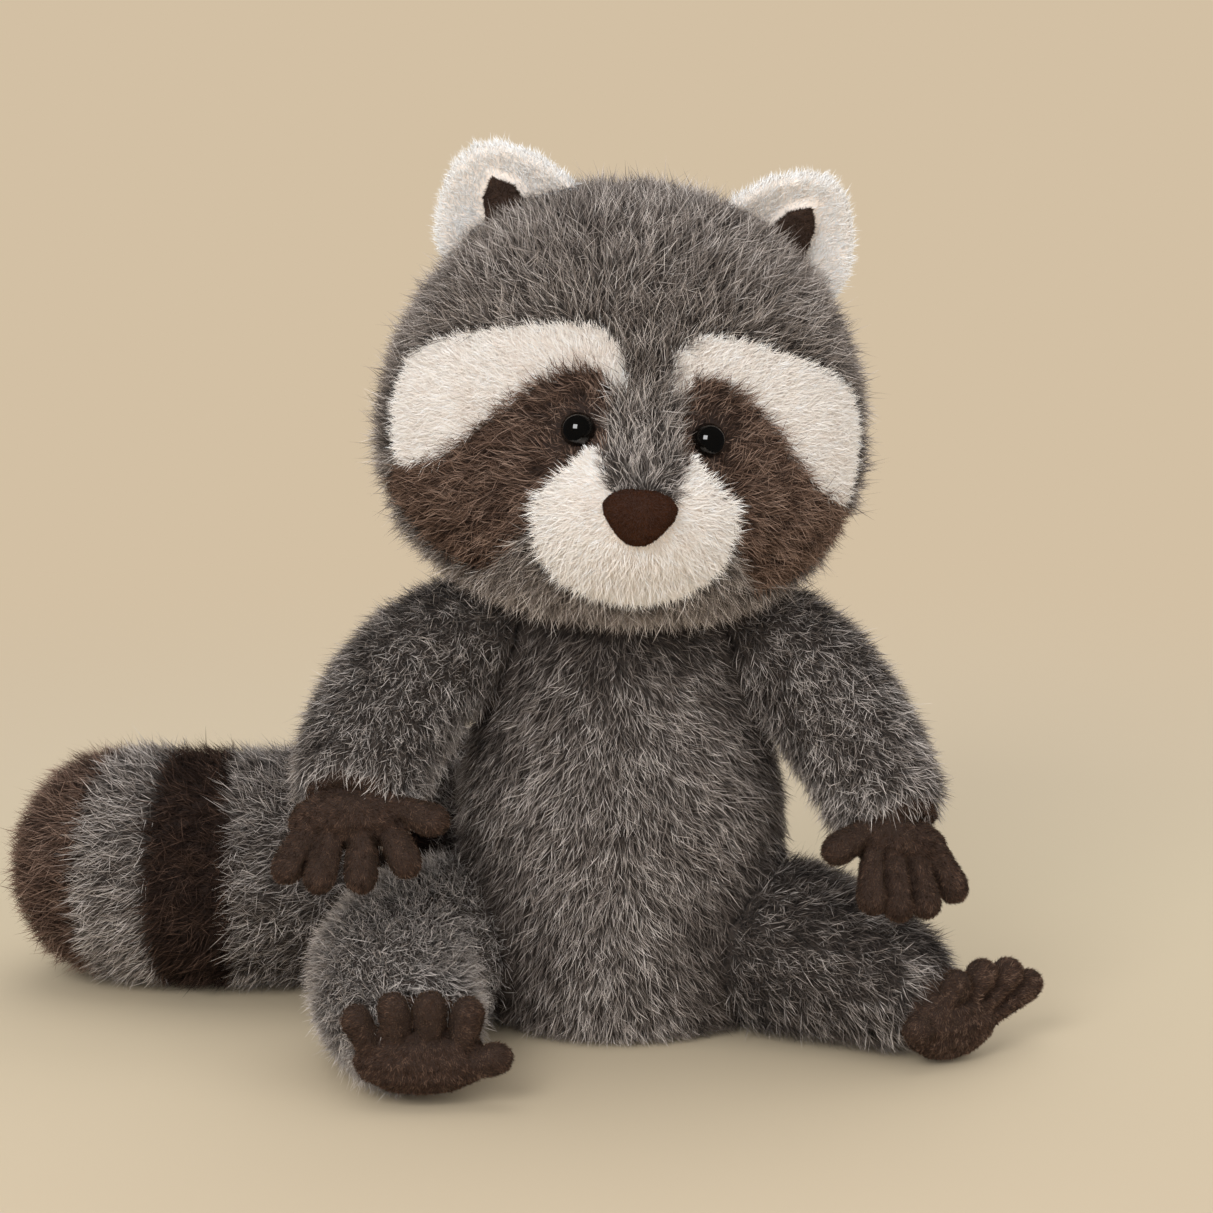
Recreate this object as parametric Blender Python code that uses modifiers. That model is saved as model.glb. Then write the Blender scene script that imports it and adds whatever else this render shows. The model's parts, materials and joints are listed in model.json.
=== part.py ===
"""Seated plush raccoon: sewn pile covers over fibre filling, velvet hands and feet, ringed tail.

Metres, +Z up. The toy faces -Y and sits on z = 0; the origin is the middle of the seat, under the
body. "right" and "left" are the toy's own sides, so right pieces lie towards -X.
A cover's outer face stands for the middle of its pile.
"""

import math

import bmesh
import bpy
from mathutils import Matrix, Vector

MM = 0.001
ROOM = 0.12               # size of a block that clears all on one side of a plane

# Cloth and fits
GAP = 0.0003              # clearance between pieces that touch
COVER = 0.004             # pile cloth, from its inner face to the middle of the pile

# Head, in its own frame: x across, y from front to back, z up
HEAD_CENTRE = Vector((0.001, -0.008, 0.190))
HEAD_HALF = Vector((0.0710, 0.0580, 0.0645))
HEAD_PEAR = 0.14          # how much the cheeks are wider than the crown
HEAD_SQUARE = 2.2         # 2 is an ellipse; more gives fuller cheeks and crown
HEAD_ROLL = math.radians(6)
HEAD_YAW = math.radians(5)
MUZZLE_HALF_WIDTH = 0.037
MUZZLE_HALF_HEIGHT = 0.033
MUZZLE_DEPTH = 0.024
MUZZLE_DROP = 0.025
MUZZLE_POWER = 1.2        # how roundly the muzzle rises out of the face
RINGS_TO_MUZZLE = 1.2     # draws the rings of facets together on the muzzle
NECK_RADIUS = 0.025       # the opening through which the head and the body are filled
NECK_LOW = 0.105
NECK_HIGH = 0.160
NECK_FACETS = 20

# Seams of the face, as (x, z) in the head's front view for the side at +x, in millimetres
BROW_UPPER = [(67, -22), (69.5, -14), (70, -4), (66, 12), (55, 19.5), (40.5, 24.5), (26, 28), (14, 28),
              (7.5, 22), (6, 11)]
BROW_LOWER = [(9.5, 11), (13.5, 16.5), (20.5, 17), (29.5, 12.5), (38, 5), (46, -4), (56, -15)]
MASK_LOWER = [(69, -29), (63, -37), (53, -45), (41, -49), (35, -43), (30, -31), (20, -20), (12, -4),
              (10.5, 3)]
MUZZLE_SIDE = [(0, -17), (9, -16), (11, -10), (14, -3), (24, -5), (28.5, -14), (29, -25), (26, -37),
               (18, -46), (8, -50), (0, -51)]

# The cones that cut the face's seams: their apex in the head, and their reach over the face's distance
SEAM_APEX = (0.0, 0.004, 0.0)
SEAM_REACH = 1.7

# Nose, eyes and ears, placed in the head's frame
NOSE_HALF = Vector((0.0122, 0.0046, 0.0084))
NOSE_SIDE = -0.0015
NOSE_HEIGHT = -0.0190
NOSE_LEAN = math.radians(6)
EYE_RADIUS = 0.0048
EYE_SPREAD = 0.0190
EYE_HEIGHT = 0.0008
EYE_SINK = 0.0012
EYE_BACK = 0.0034         # how deep the flat back of the eye lies under the pile's middle
POST_RADIUS = 0.0016
POST_LENGTH = 0.0125
WASHER_RADIUS = 0.0055
WASHER_THICKNESS = 0.0016
WASHER_DEPTH = 0.0020     # from the cloth's inner face
EAR_HALF = Vector((0.0250, 0.0068, 0.0282))
EAR_CENTRE = Vector((0.0396, 0.0040, 0.0478))
EAR_SHIFT = 0.0016        # both ears sit a little towards the toy's left
EAR_TILT = math.radians(29)
EAR_TURN = math.radians(14)
EAR_CUP = 0.0088          # depth of the cup at its middle
EAR_RIM = 0.86            # where the cup begins, as a share of the ear's half size
EAR_TIP_NARROWING = 0.26
EAR_BASE_NARROWING = 0.05
LINING_FRONT = -0.0012    # the lining's front plane at the middle of the ear, and its slope up the ear
LINING_SLOPE = -0.10
LINING_HALF_WIDTH = 0.0078
LINING_TOP = 0.0165
LINING_BACK = 0.0038      # inside the ear, where the lining's block ends before it is trimmed

# Body, as (height, radius across) up its side
BODY_PROFILE = [(0.000, 0.0370), (0.003, 0.0415), (0.012, 0.0450), (0.028, 0.0478), (0.050, 0.0500),
                (0.070, 0.0498), (0.092, 0.0455), (0.112, 0.0400), (0.128, 0.0345), (0.138, 0.0285)]
BODY_FLATTEN = 0.90       # depth over width

# Limbs: three points that bend each limb's axis, and radii from the body outwards
ARM_PATHS = {"right": [(-0.036, -0.004, 0.122), (-0.071, -0.014, 0.114), (-0.0775, -0.055, 0.0815)],
             "left": [(0.037, -0.004, 0.121), (0.062, -0.010, 0.111), (0.0795, -0.041, 0.0720)]}
ARM_RADII = {"right": [0.0180, 0.0208, 0.0215, 0.0212, 0.0190],
             "left": [0.0175, 0.0200, 0.0205, 0.0198, 0.0172]}
LEG_PATHS = {"right": [(-0.036, -0.002, 0.0255), (-0.084, -0.026, 0.0295), (-0.0580, -0.083, 0.0175)],
             "left": [(0.030, -0.004, 0.0265), (0.062, -0.026, 0.0300), (0.0890, -0.0405, 0.0160)]}
LEG_RADII = {"right": [0.0255, 0.0262, 0.0262, 0.0248, 0.0195],
             "left": [0.0265, 0.0275, 0.0255, 0.0215, 0.0172]}
LIMB_COVER = 0.003
LIMB_RINGS = 6
LIMB_SIDES = 12
HOLLOW_SIDES = 8          # sides of a sleeve's hollow and of its filling
SLEEVE_SPARE = 0.020      # how far a sleeve's hollow runs on past its open end
SHOULDER_SHARES = (0.06, 0.45)                      # rings of the rounded shoulder or hip
PLUG_DEPTH = 0.007        # how far a hand or foot is sewn into its sleeve
PLUG_SPARE = 0.004        # how far the plug runs on inside the hand or foot
PAW_STEP = 0.0007         # from a sleeve's end to the flat back of its hand or foot

# Hands and feet: pad centre, half sizes, turn about z; fingers as (root, tip centre)
HAND_PADS = {"right": ((-0.0775, -0.0630, 0.0775), (0.0190, 0.0082, 0.0088), 0, -4),
             "left": ((0.0800, -0.0500, 0.0668), (0.0158, 0.0078, 0.0082), 8, 14)}
HAND_FINGERS = {
    "right": [((-0.0885, -0.0650, 0.0775), (-0.0960, -0.0700, 0.0648)),
              ((-0.0830, -0.0655, 0.0765), (-0.0868, -0.0720, 0.0626)),
              ((-0.0750, -0.0655, 0.0765), (-0.0748, -0.0725, 0.0628)),
              ((-0.0675, -0.0650, 0.0765), (-0.0622, -0.0710, 0.0668)),
              ((-0.0655, -0.0640, 0.0815), (-0.0545, -0.0690, 0.0785))],
    "left": [((0.0735, -0.0545, 0.0655), (0.0727, -0.0610, 0.0533)),
             ((0.0792, -0.0540, 0.0650), (0.0803, -0.0600, 0.0508)),
             ((0.0850, -0.0525, 0.0650), (0.0882, -0.0570, 0.0510)),
             ((0.0902, -0.0505, 0.0655), (0.0964, -0.0520, 0.0542)),
             ((0.0710, -0.0530, 0.0715), (0.0625, -0.0590, 0.0672))]}
FOOT_PADS = {"right": ((-0.0575, -0.0905, 0.0140), (0.0202, 0.0085, 0.0098), 0, 0),
             "left": ((0.0968, -0.0475, 0.0120), (0.0172, 0.0080, 0.0106), 37, 0)}
FOOT_TOES = {
    "right": [((-0.0710, -0.0920, 0.0165), (-0.0758, -0.0940, 0.0272)),
              ((-0.0635, -0.0920, 0.0175), (-0.0650, -0.0945, 0.0300)),
              ((-0.0550, -0.0920, 0.0175), (-0.0545, -0.0945, 0.0300)),
              ((-0.0465, -0.0920, 0.0165), (-0.0438, -0.0935, 0.0282)),
              ((-0.0460, -0.0920, 0.0120), (-0.0360, -0.0935, 0.0150))],
    "left": [((0.0928, -0.0520, 0.0135), (0.0978, -0.0512, 0.0238)),
             ((0.0990, -0.0482, 0.0145), (0.1060, -0.0432, 0.0248)),
             ((0.1042, -0.0435, 0.0140), (0.1143, -0.0362, 0.0233)),
             ((0.1075, -0.0395, 0.0115), (0.1208, -0.0302, 0.0182)),
             ((0.0922, -0.0520, 0.0110), (0.0865, -0.0590, 0.0128))]}
DIGIT_RADIUS = 0.0046
DIGIT_ROOT_RADIUS = 0.0038
DIGIT_TIP_SHARES = (0.6, 0.95)                      # rings of the round fingertip, as shares of the radius

# Tail: points along its axis from the body's back to the tip, and its pile bands from tip to root
TAIL_POINTS = [(0.000, 0.018, 0.030), (-0.008, 0.047, 0.032), (-0.034, 0.069, 0.0355),
               (-0.066, 0.060, 0.0363), (-0.098, 0.040, 0.0363), (-0.130, 0.037, 0.0363),
               (-0.160, 0.045, 0.0363), (-0.1850, 0.057, 0.0363)]
TAIL_RADIUS = 0.0375
TAIL_ROOT_RADIUS = 0.0200
TAIL_SWELL = 0.075        # length over which the root grows to the full radius
TAIL_BANDS = [("dark", 0.033), ("grey", 0.0185), ("dark", 0.019), ("grey", 0.026), ("dark", 0.024),
              ("grey", 0.100)]
TAIL_STEP = 0.0125        # between rings along the tail
TAIL_INNER_STEP = 0.0210  # between rings of its hollow and its filling
TAIL_FINENESS = 12        # points of the smooth axis between two given ones
TAIL_TIP_SHARES = (0.01, 0.05, 0.14, 0.29, 0.5)     # rings of the rounded tip, as shares of the radius
TAIL_TIP_ROUND = 0.86     # length of the rounded tip over the radius
TAIL_SIDES = 14
BAND_SPARE = 0.004        # how far a ring is made past its seam before it is trimmed
TAIL_HOLLOW_SIDES = 8

# Facets of the round forms, around and from pole to pole
HEAD_FACETS = (22, 16)
HEAD_INNER_FACETS = (12, 9)
BODY_FACETS = 20
BODY_INNER_FACETS = 11
EYE_FACETS = (10, 7)
POST_FACETS = 6
WASHER_FACETS = 12
NOSE_FACETS = (14, 8)
EAR_FACETS = (14, 9)
PAD_FACETS = (10, 6)
DIGIT_FACETS = 6
PLUG_FACETS = 8
SHARP_EDGE = math.radians(50)                       # edges over this angle are shaded sharp

# Colours and roughness of the cloths and plastics
FINISHES = {
    "grey_pile": ((0.145, 0.120, 0.110), 0.95),
    "brown_pile": ((0.072, 0.043, 0.032), 0.95),
    "cream_pile": ((0.760, 0.680, 0.600), 0.95),
    "brown_velvet": ((0.078, 0.050, 0.038), 0.85),
    "nose_velvet": ((0.052, 0.024, 0.017), 0.80),
    "fibre_fill": ((0.820, 0.820, 0.800), 1.00),
    "black_gloss": ((0.004, 0.004, 0.004), 0.08),
    "washer_plastic": ((0.800, 0.800, 0.780), 0.45),
}


def new_collection(name):
    collection = bpy.data.collections.new(name)
    bpy.context.scene.collection.children.link(collection)
    return collection


def make_finish(name):
    colour, roughness = FINISHES[name]
    material = bpy.data.materials.new(name)
    material.use_nodes = True
    shader = material.node_tree.nodes["Principled BSDF"]
    shader.inputs["Base Color"].default_value = (*colour, 1.0)
    shader.inputs["Roughness"].default_value = roughness
    material.diffuse_color = (*colour, 1.0)
    return material


def add_object(name, mesh, collection):
    obj = bpy.data.objects.new(name, mesh)
    collection.objects.link(obj)
    return obj


def mesh_from(bm, name):
    """Turn a closed form's faces outwards, split them alike on nested forms, and keep it as a mesh."""
    mesh = bpy.data.meshes.new(name)
    bmesh.ops.triangulate(bm, faces=bm.faces, quad_method="FIXED", ngon_method="EAR_CLIP")
    bm.normal_update()
    bmesh.ops.recalc_face_normals(bm, faces=bm.faces)
    if bm.calc_volume(signed=True) < 0:
        bmesh.ops.reverse_faces(bm, faces=bm.faces)
    bm.to_mesh(mesh)
    bm.free()
    return mesh


def combine(target, other, operation, keep=False):
    """Join, cut or intersect the target with another object, exactly, and drop the other unless kept."""
    modifier = target.modifiers.new("combine", "BOOLEAN")
    modifier.operation = operation
    modifier.object = other
    modifier.solver = "EXACT"
    graph = bpy.context.evaluated_depsgraph_get()
    mesh = bpy.data.meshes.new_from_object(target.evaluated_get(graph))
    target.modifiers.remove(modifier)
    old = target.data
    target.data = mesh
    bpy.data.meshes.remove(old)
    if not keep:
        bpy.data.objects.remove(other)
    return target


def head_matrix():
    roll = Matrix.Rotation(HEAD_ROLL, 4, "Y")
    yaw = Matrix.Rotation(HEAD_YAW, 4, "Z")
    return Matrix.Translation(HEAD_CENTRE) @ roll @ yaw


def muzzle_bulge(x, z, grow):
    """How far the muzzle stands out of the face at a place in the front view."""
    across = x / (MUZZLE_HALF_WIDTH + grow)
    up = (z + MUZZLE_DROP) / (MUZZLE_HALF_HEIGHT + grow)
    inside = 1 - across ** 2 - up ** 2
    if inside <= 0:
        return 0.0
    return MUZZLE_DEPTH * inside ** MUZZLE_POWER


def head_ring(height, grow):
    """Width of the head at a height, as a share of its widest, with the height as a share too."""
    share = max(-1.0, min(1.0, height / (HEAD_HALF.z + grow)))
    width = (1 - abs(share) ** HEAD_SQUARE) ** (1 / HEAD_SQUARE)
    return width * (1 - HEAD_PEAR * share)


def face_point(x, z, grow=0.0):
    """The point of the head's front at (x, z) in its front view."""
    ring = head_ring(z, grow)
    depth = ring ** 2 - (x / (HEAD_HALF.x + grow)) ** 2
    y = -(HEAD_HALF.y + grow) * math.sqrt(max(depth, 0.0))
    return Vector((x, y - muzzle_bulge(x, z, grow), z))


def head_form(name, collection, grow, segments, rings):
    """The head with its muzzle as one closed form, standing `grow` outside the middle of the pile."""
    bm = bmesh.new()
    bmesh.ops.create_uvsphere(bm, u_segments=segments, v_segments=rings, radius=1.0)
    towards_muzzle = Vector((0, -1, -MUZZLE_DROP / HEAD_HALF.z)).normalized()
    turn = Vector((0, 0, 1)).rotation_difference(towards_muzzle).to_matrix()
    for vert in bm.verts:
        polar = math.acos(max(-1.0, min(1.0, vert.co.z)))
        closer = math.pi * (polar / math.pi) ** RINGS_TO_MUZZLE
        flat = Vector((vert.co.x, vert.co.y, 0))
        if flat.length > 1e-6:
            flat.normalize()
        direction = turn @ (flat * math.sin(closer) + Vector((0, 0, math.cos(closer))))
        ring = (1 - abs(direction.z) ** HEAD_SQUARE) ** (1 / HEAD_SQUARE)
        ring *= 1 - HEAD_PEAR * direction.z
        level = Vector((direction.x, direction.y, 0))
        if level.length > 1e-6:
            level.normalize()
        z = (HEAD_HALF.z + grow) * direction.z
        x = (HEAD_HALF.x + grow) * ring * level.x
        y = (HEAD_HALF.y + grow) * ring * level.y
        if y < 0:
            y -= muzzle_bulge(x, z, grow)
        vert.co = Vector((x, y, z))
    obj = add_object(name, mesh_from(bm, name), collection)
    obj.data.transform(head_matrix())
    return obj


def grown_outline(points, grow):
    """Move a closed (x, z) outline outwards, corner by corner."""
    count = len(points)
    area = sum(points[i - 1][0] * points[i][1] - points[i][0] * points[i - 1][1] for i in range(count))
    side = 1 if area > 0 else -1
    moved = []
    for i, (x, z) in enumerate(points):
        before = Vector((x - points[i - 1][0], z - points[i - 1][1])).normalized()
        after = Vector((points[(i + 1) % count][0] - x, points[(i + 1) % count][1] - z)).normalized()
        normal = Vector((before.y + after.y, -before.x - after.x))
        normal = normal.normalized() * side
        straight = max(0.5, abs(normal.dot(Vector((after.y, -after.x)))))
        moved.append((x + normal.x * grow / straight, z + normal.y * grow / straight))
    return moved


def seam_cutter(name, outline, collection, grow=0.0):
    """A cone from the middle of the head through a seam, to cut a panel out of the head's cover."""
    points = [(x * MM, z * MM) for x, z in outline]
    points = grown_outline(points, grow)
    bm = bmesh.new()
    apex = bm.verts.new(SEAM_APEX)
    outer = [bm.verts.new(apex.co + (face_point(x, z) - apex.co) * SEAM_REACH) for x, z in points]
    for i, vert in enumerate(outer):
        bm.faces.new((apex, outer[i - 1], vert))
    cap = bm.faces.new(outer)
    bmesh.ops.triangulate(bm, faces=[cap])
    obj = add_object(name, mesh_from(bm, name), collection)
    obj.data.transform(head_matrix())
    return obj


def mirrored(outline):
    return [(-x, z) for x, z in reversed(outline)]


def turned(name, profile, collection, segments):
    """A form turned about +Z from (height, radius) points, closed at both ends."""
    mesh = bpy.data.meshes.new(name)
    outline = [(0.0, 0.0, profile[-1][0])]
    outline += [(radius, 0.0, height) for height, radius in reversed(profile)]
    outline.append((0.0, 0.0, profile[0][0]))
    mesh.from_pydata(outline, [(i, i + 1) for i in range(len(outline) - 1)], [])
    obj = add_object(name, mesh, collection)
    screw = obj.modifiers.new("turn", "SCREW")
    screw.steps = segments
    screw.render_steps = segments
    screw.use_merge_vertices = True
    screw.merge_threshold = 0.00001
    graph = bpy.context.evaluated_depsgraph_get()
    solid = bpy.data.meshes.new_from_object(obj.evaluated_get(graph))
    obj.modifiers.remove(screw)
    bm = bmesh.new()
    bm.from_mesh(solid)
    bmesh.ops.remove_doubles(bm, verts=bm.verts, dist=0.00001)
    obj.data = mesh_from(bm, name)
    bpy.data.meshes.remove(mesh)
    bpy.data.meshes.remove(solid)
    return obj


def body_form(name, collection, grow, segments):
    """The body, `grow` outside the middle of its pile; an inner form keeps clear of the seat too."""
    low, high = BODY_PROFILE[0][0], BODY_PROFILE[-1][0]
    base = max(0.0, -grow)
    stretch = (high - low + min(grow, 0.0) - base) / (high - low)
    profile = [(base + (height - low) * stretch, radius + grow) for height, radius in BODY_PROFILE]
    obj = turned(name, profile, collection, segments)
    obj.data.transform(Matrix.Diagonal((1, BODY_FLATTEN, 1, 1)))
    return obj


def tube(name, points, radii, collection, sides):
    """A round tube along points, with a radius at each; its ends are closed."""
    curve = bpy.data.curves.new(name, "CURVE")
    curve.dimensions = "3D"
    curve.bevel_depth = 1.0
    curve.bevel_resolution = (sides - 4) // 2
    curve.use_fill_caps = True
    curve.twist_mode = "MINIMUM"
    spline = curve.splines.new("POLY")
    spline.points.add(len(points) - 1)
    for point, place, radius in zip(spline.points, points, radii):
        point.co = (*place, 1.0)
        point.radius = radius
    obj = bpy.data.objects.new(name, curve)
    collection.objects.link(obj)
    graph = bpy.context.evaluated_depsgraph_get()
    raw = bpy.data.meshes.new_from_object(obj.evaluated_get(graph))
    bpy.data.objects.remove(obj)
    bpy.data.curves.remove(curve)
    bm = bmesh.new()
    bm.from_mesh(raw)
    bmesh.ops.remove_doubles(bm, verts=bm.verts, dist=0.000001)
    bpy.data.meshes.remove(raw)
    return add_object(name, mesh_from(bm, name), collection)


def along(values, share):
    """Read a list of numbers or vectors as a smooth line from 0 to 1."""
    place = min(max(share, 0.0), 1.0) * (len(values) - 1)
    index = min(int(place), len(values) - 2)
    local = place - index
    local = local * local * (3 - 2 * local) * 0.5 + local * 0.5
    return values[index] * (1 - local) + values[index + 1] * local


def bend(points, share):
    """A point of the bent axis given by a start, a pull and an end."""
    start, pull, end = (Vector(p) for p in points)
    return start * (1 - share) ** 2 + pull * 2 * share * (1 - share) + end * share ** 2


def bend_direction(points, share):
    start, pull, end = (Vector(p) for p in points)
    return ((pull - start) * (1 - share) + (end - pull) * share).normalized()


def dome(distance, radius):
    """Narrowing of a rounded end, at a distance from its pole."""
    if distance >= radius:
        return 1.0
    return math.sqrt(max(0.0, 1 - (1 - distance / radius) ** 2))


def limb_form(name, path, radii, collection, grow, sides, past_end=0.0):
    """A stuffed limb with a round shoulder and a flat far end; `past_end` runs it on past that end."""
    start = Vector(path[0])
    first = bend_direction(path, 0.0)
    radius = radii[0] + grow
    points = []
    widths = []
    for share in SHOULDER_SHARES:
        points.append(start - first * radius * (1 - share))
        widths.append(radius * dome(share, 1.0))
    for i in range(LIMB_RINGS):
        share = i / (LIMB_RINGS - 1)
        points.append(bend(path, share))
        widths.append(along(radii, share) + grow)
    if past_end:
        points.append(Vector(path[2]) + bend_direction(path, 1.0) * past_end)
        widths.append(radii[-1] + grow)
    return tube(name, points, widths, collection, sides)


def block(name, centre, size, collection, matrix=None):
    """A box, for a flat cut."""
    bm = bmesh.new()
    bmesh.ops.create_cube(bm, size=1.0)
    bmesh.ops.scale(bm, vec=size, verts=bm.verts)
    bmesh.ops.translate(bm, vec=centre, verts=bm.verts)
    obj = add_object(name, mesh_from(bm, name), collection)
    if matrix:
        obj.data.transform(matrix)
    return obj


def cut_floor(obj, cutters, height=0.0):
    """Press the underside flat where a soft piece rests."""
    combine(obj, block("floor", (0, 0, height - ROOM / 2), (1, 1, ROOM), cutters), "DIFFERENCE")


def end_frame(path):
    """Axes at a limb's far end, with local +Z pointing out of the sleeve."""
    out = bend_direction(path, 1.0)
    turn = Vector((0, 0, 1)).rotation_difference(out).to_matrix().to_4x4()
    return Matrix.Translation(Vector(path[2])) @ turn


def ball(name, half, collection, segments, rings):
    bm = bmesh.new()
    bmesh.ops.create_uvsphere(bm, u_segments=segments, v_segments=rings, radius=1.0)
    bmesh.ops.scale(bm, vec=half, verts=bm.verts)
    return add_object(name, mesh_from(bm, name), collection)


def rod(name, radius, low, high, collection, sides):
    """A straight cylinder on the Z axis from low to high."""
    bm = bmesh.new()
    bmesh.ops.create_cone(bm, cap_ends=True, segments=sides, radius1=radius, radius2=radius, depth=high - low)
    bmesh.ops.translate(bm, vec=(0, 0, (low + high) / 2), verts=bm.verts)
    return add_object(name, mesh_from(bm, name), collection)


def make_paw(name, pad, digits, path, plug_radius, parts, cutters):
    """A velvet hand or foot: a pad, its fingers or toes, and the stub that is sewn into the sleeve."""
    centre, half, turn, lean = pad
    paw = ball(name, half, parts, *PAD_FACETS)
    place = Matrix.Translation(centre) @ Matrix.Rotation(math.radians(turn), 4, "Z")
    paw.data.transform(place @ Matrix.Rotation(math.radians(lean), 4, "Y"))
    for root, tip in digits:
        root, tip = Vector(root), Vector(tip)
        axis = (tip - root).normalized()
        ends = [root, tip]
        widths = [DIGIT_ROOT_RADIUS, DIGIT_RADIUS]
        for share in DIGIT_TIP_SHARES:
            ends.append(tip + axis * DIGIT_RADIUS * share)
            widths.append(DIGIT_RADIUS * math.sqrt(1 - share ** 2))
        combine(paw, tube("digit", ends, widths, cutters, DIGIT_FACETS), "UNION")
    frame = end_frame(path)
    sleeve_side = block("sleeve_side", (0, 0, PAW_STEP - ROOM / 2), (ROOM, ROOM, ROOM), cutters, frame)
    combine(paw, sleeve_side, "DIFFERENCE")
    stub = rod("stub", plug_radius, -PLUG_DEPTH, PLUG_SPARE, cutters, PLUG_FACETS)
    stub.data.transform(frame)
    combine(paw, stub, "UNION")
    cut_floor(paw, cutters)
    return paw


def make_limb(side, kind, path, radii, body_shell, head_shell, parts, cutters):
    """A sleeve of pile cloth with its filling; both are cut to lie against the body."""
    sleeve = limb_form(f"{kind}_cover_{side}", path, radii, parts, 0.0, LIMB_SIDES)
    filling = limb_form(f"{kind}_filling_{side}", path, radii, parts, -LIMB_COVER - GAP, HOLLOW_SIDES)
    hollow = limb_form("hollow", path, radii, cutters, -LIMB_COVER, HOLLOW_SIDES, SLEEVE_SPARE)
    combine(sleeve, hollow, "DIFFERENCE")
    frame = end_frame(path)
    room = block("room", (0, 0, ROOM / 2 - PLUG_DEPTH - GAP), (ROOM, ROOM, ROOM), cutters, frame)
    combine(filling, room, "DIFFERENCE")
    for piece in (sleeve, filling):
        combine(piece, body_shell, "DIFFERENCE", keep=True)
        if kind == "arm":
            combine(piece, head_shell, "DIFFERENCE", keep=True)
    cut_floor(sleeve, cutters)
    cut_floor(filling, cutters, LIMB_COVER + GAP)
    return sleeve, filling


def eye_frame(side):
    """Axes at an eye, with local +Z pointing out of the face."""
    sign = -1 if side == "right" else 1
    x, z = sign * EYE_SPREAD, EYE_HEIGHT
    near = 2 * MM
    across = face_point(x + near, z) - face_point(x - near, z)
    up = face_point(x, z + near) - face_point(x, z - near)
    normal = across.cross(up).normalized()
    if normal.y > 0:
        normal.negate()
    turn = Vector((0, 0, 1)).rotation_difference(normal).to_matrix().to_4x4()
    return head_matrix() @ Matrix.Translation(face_point(x, z)) @ turn


def eye_form(name, side, collection, cutters, grow):
    """A domed eye on a straight post."""
    eye = ball(name, [EYE_RADIUS + grow] * 3, collection, *EYE_FACETS)
    eye.data.transform(Matrix.Translation((0, 0, -EYE_SINK)))
    back = -EYE_BACK - grow
    combine(eye, block("behind", (0, 0, back - ROOM / 2), (ROOM, ROOM, ROOM), cutters), "DIFFERENCE")
    post = rod("post", POST_RADIUS + grow, -EYE_BACK - POST_LENGTH - grow, -EYE_SINK, cutters, POST_FACETS)
    combine(eye, post, "UNION")
    eye.data.transform(eye_frame(side))
    return eye


def ear_matrix(side):
    sign = -1 if side == "right" else 1
    place = Matrix.Translation((EAR_SHIFT + sign * EAR_CENTRE.x, EAR_CENTRE.y, EAR_CENTRE.z))
    lean = Matrix.Rotation(sign * EAR_TILT, 4, "Y")
    turn = Matrix.Rotation(sign * EAR_TURN, 4, "Z")
    return head_matrix() @ place @ lean @ turn


def ear_form(name, side, collection, grow=0.0):
    """A cupped, rounded ear, standing `grow` outside the middle of its pile."""
    bm = bmesh.new()
    bmesh.ops.create_uvsphere(bm, u_segments=EAR_FACETS[0], v_segments=EAR_FACETS[1], radius=1.0)
    bmesh.ops.rotate(bm, matrix=Matrix.Rotation(math.pi / 2, 3, "X"), verts=bm.verts)
    for vert in bm.verts:
        x, y, z = vert.co
        narrow = 1.0 - EAR_TIP_NARROWING * max(z, 0.0) ** 1.5 - EAR_BASE_NARROWING * max(-z, 0.0)
        dish = max(0.0, 1 - (x / EAR_RIM) ** 2 - (z / EAR_RIM) ** 2)
        depth = y * (EAR_HALF.y + grow)
        if y < 0:
            depth += EAR_CUP * dish - grow
        vert.co = Vector((x * narrow * (EAR_HALF.x + grow), depth, z * (EAR_HALF.z + grow)))
    obj = add_object(name, mesh_from(bm, name), collection)
    obj.data.transform(ear_matrix(side))
    return obj


def make_ears(head_grown, parts, cutters):
    pieces = {}
    for side in ("right", "left"):
        ear = ear_form(f"ear_{side}", side, parts)
        combine(ear, head_grown, "DIFFERENCE", keep=True)
        lining = lining_wedge(f"ear_lining_{side}", side, parts)
        combine(lining, ear_form("inside", side, cutters, GAP), "DIFFERENCE")
        combine(lining, head_grown, "DIFFERENCE", keep=True)
        pieces[ear] = "cream_pile"
        pieces[lining] = "brown_velvet"
    return pieces


def lining_wedge(name, side, collection):
    """The pointed block of the dark lining, from its sloped front to the middle of the ear."""
    sign = -1 if side == "right" else 1
    lean = -sign * 0.1 * LINING_HALF_WIDTH
    outline = [(-LINING_HALF_WIDTH, 0), (-LINING_HALF_WIDTH * 0.6 + lean, LINING_TOP * 0.72),
               (lean, LINING_TOP), (LINING_HALF_WIDTH * 0.6 + lean, LINING_TOP * 0.72), (LINING_HALF_WIDTH, 0),
               (LINING_HALF_WIDTH * 0.3, -EAR_HALF.z), (-LINING_HALF_WIDTH * 0.3, -EAR_HALF.z)]
    bm = bmesh.new()
    front = [bm.verts.new((x, LINING_FRONT + LINING_SLOPE * z, z)) for x, z in outline]
    face = bm.faces.new(front)
    pushed = bmesh.ops.extrude_face_region(bm, geom=[face])
    for vert in pushed["geom"]:
        if isinstance(vert, bmesh.types.BMVert):
            vert.co.y = LINING_BACK
    obj = add_object(name, mesh_from(bm, name), collection)
    obj.data.transform(ear_matrix(side))
    return obj


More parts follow.
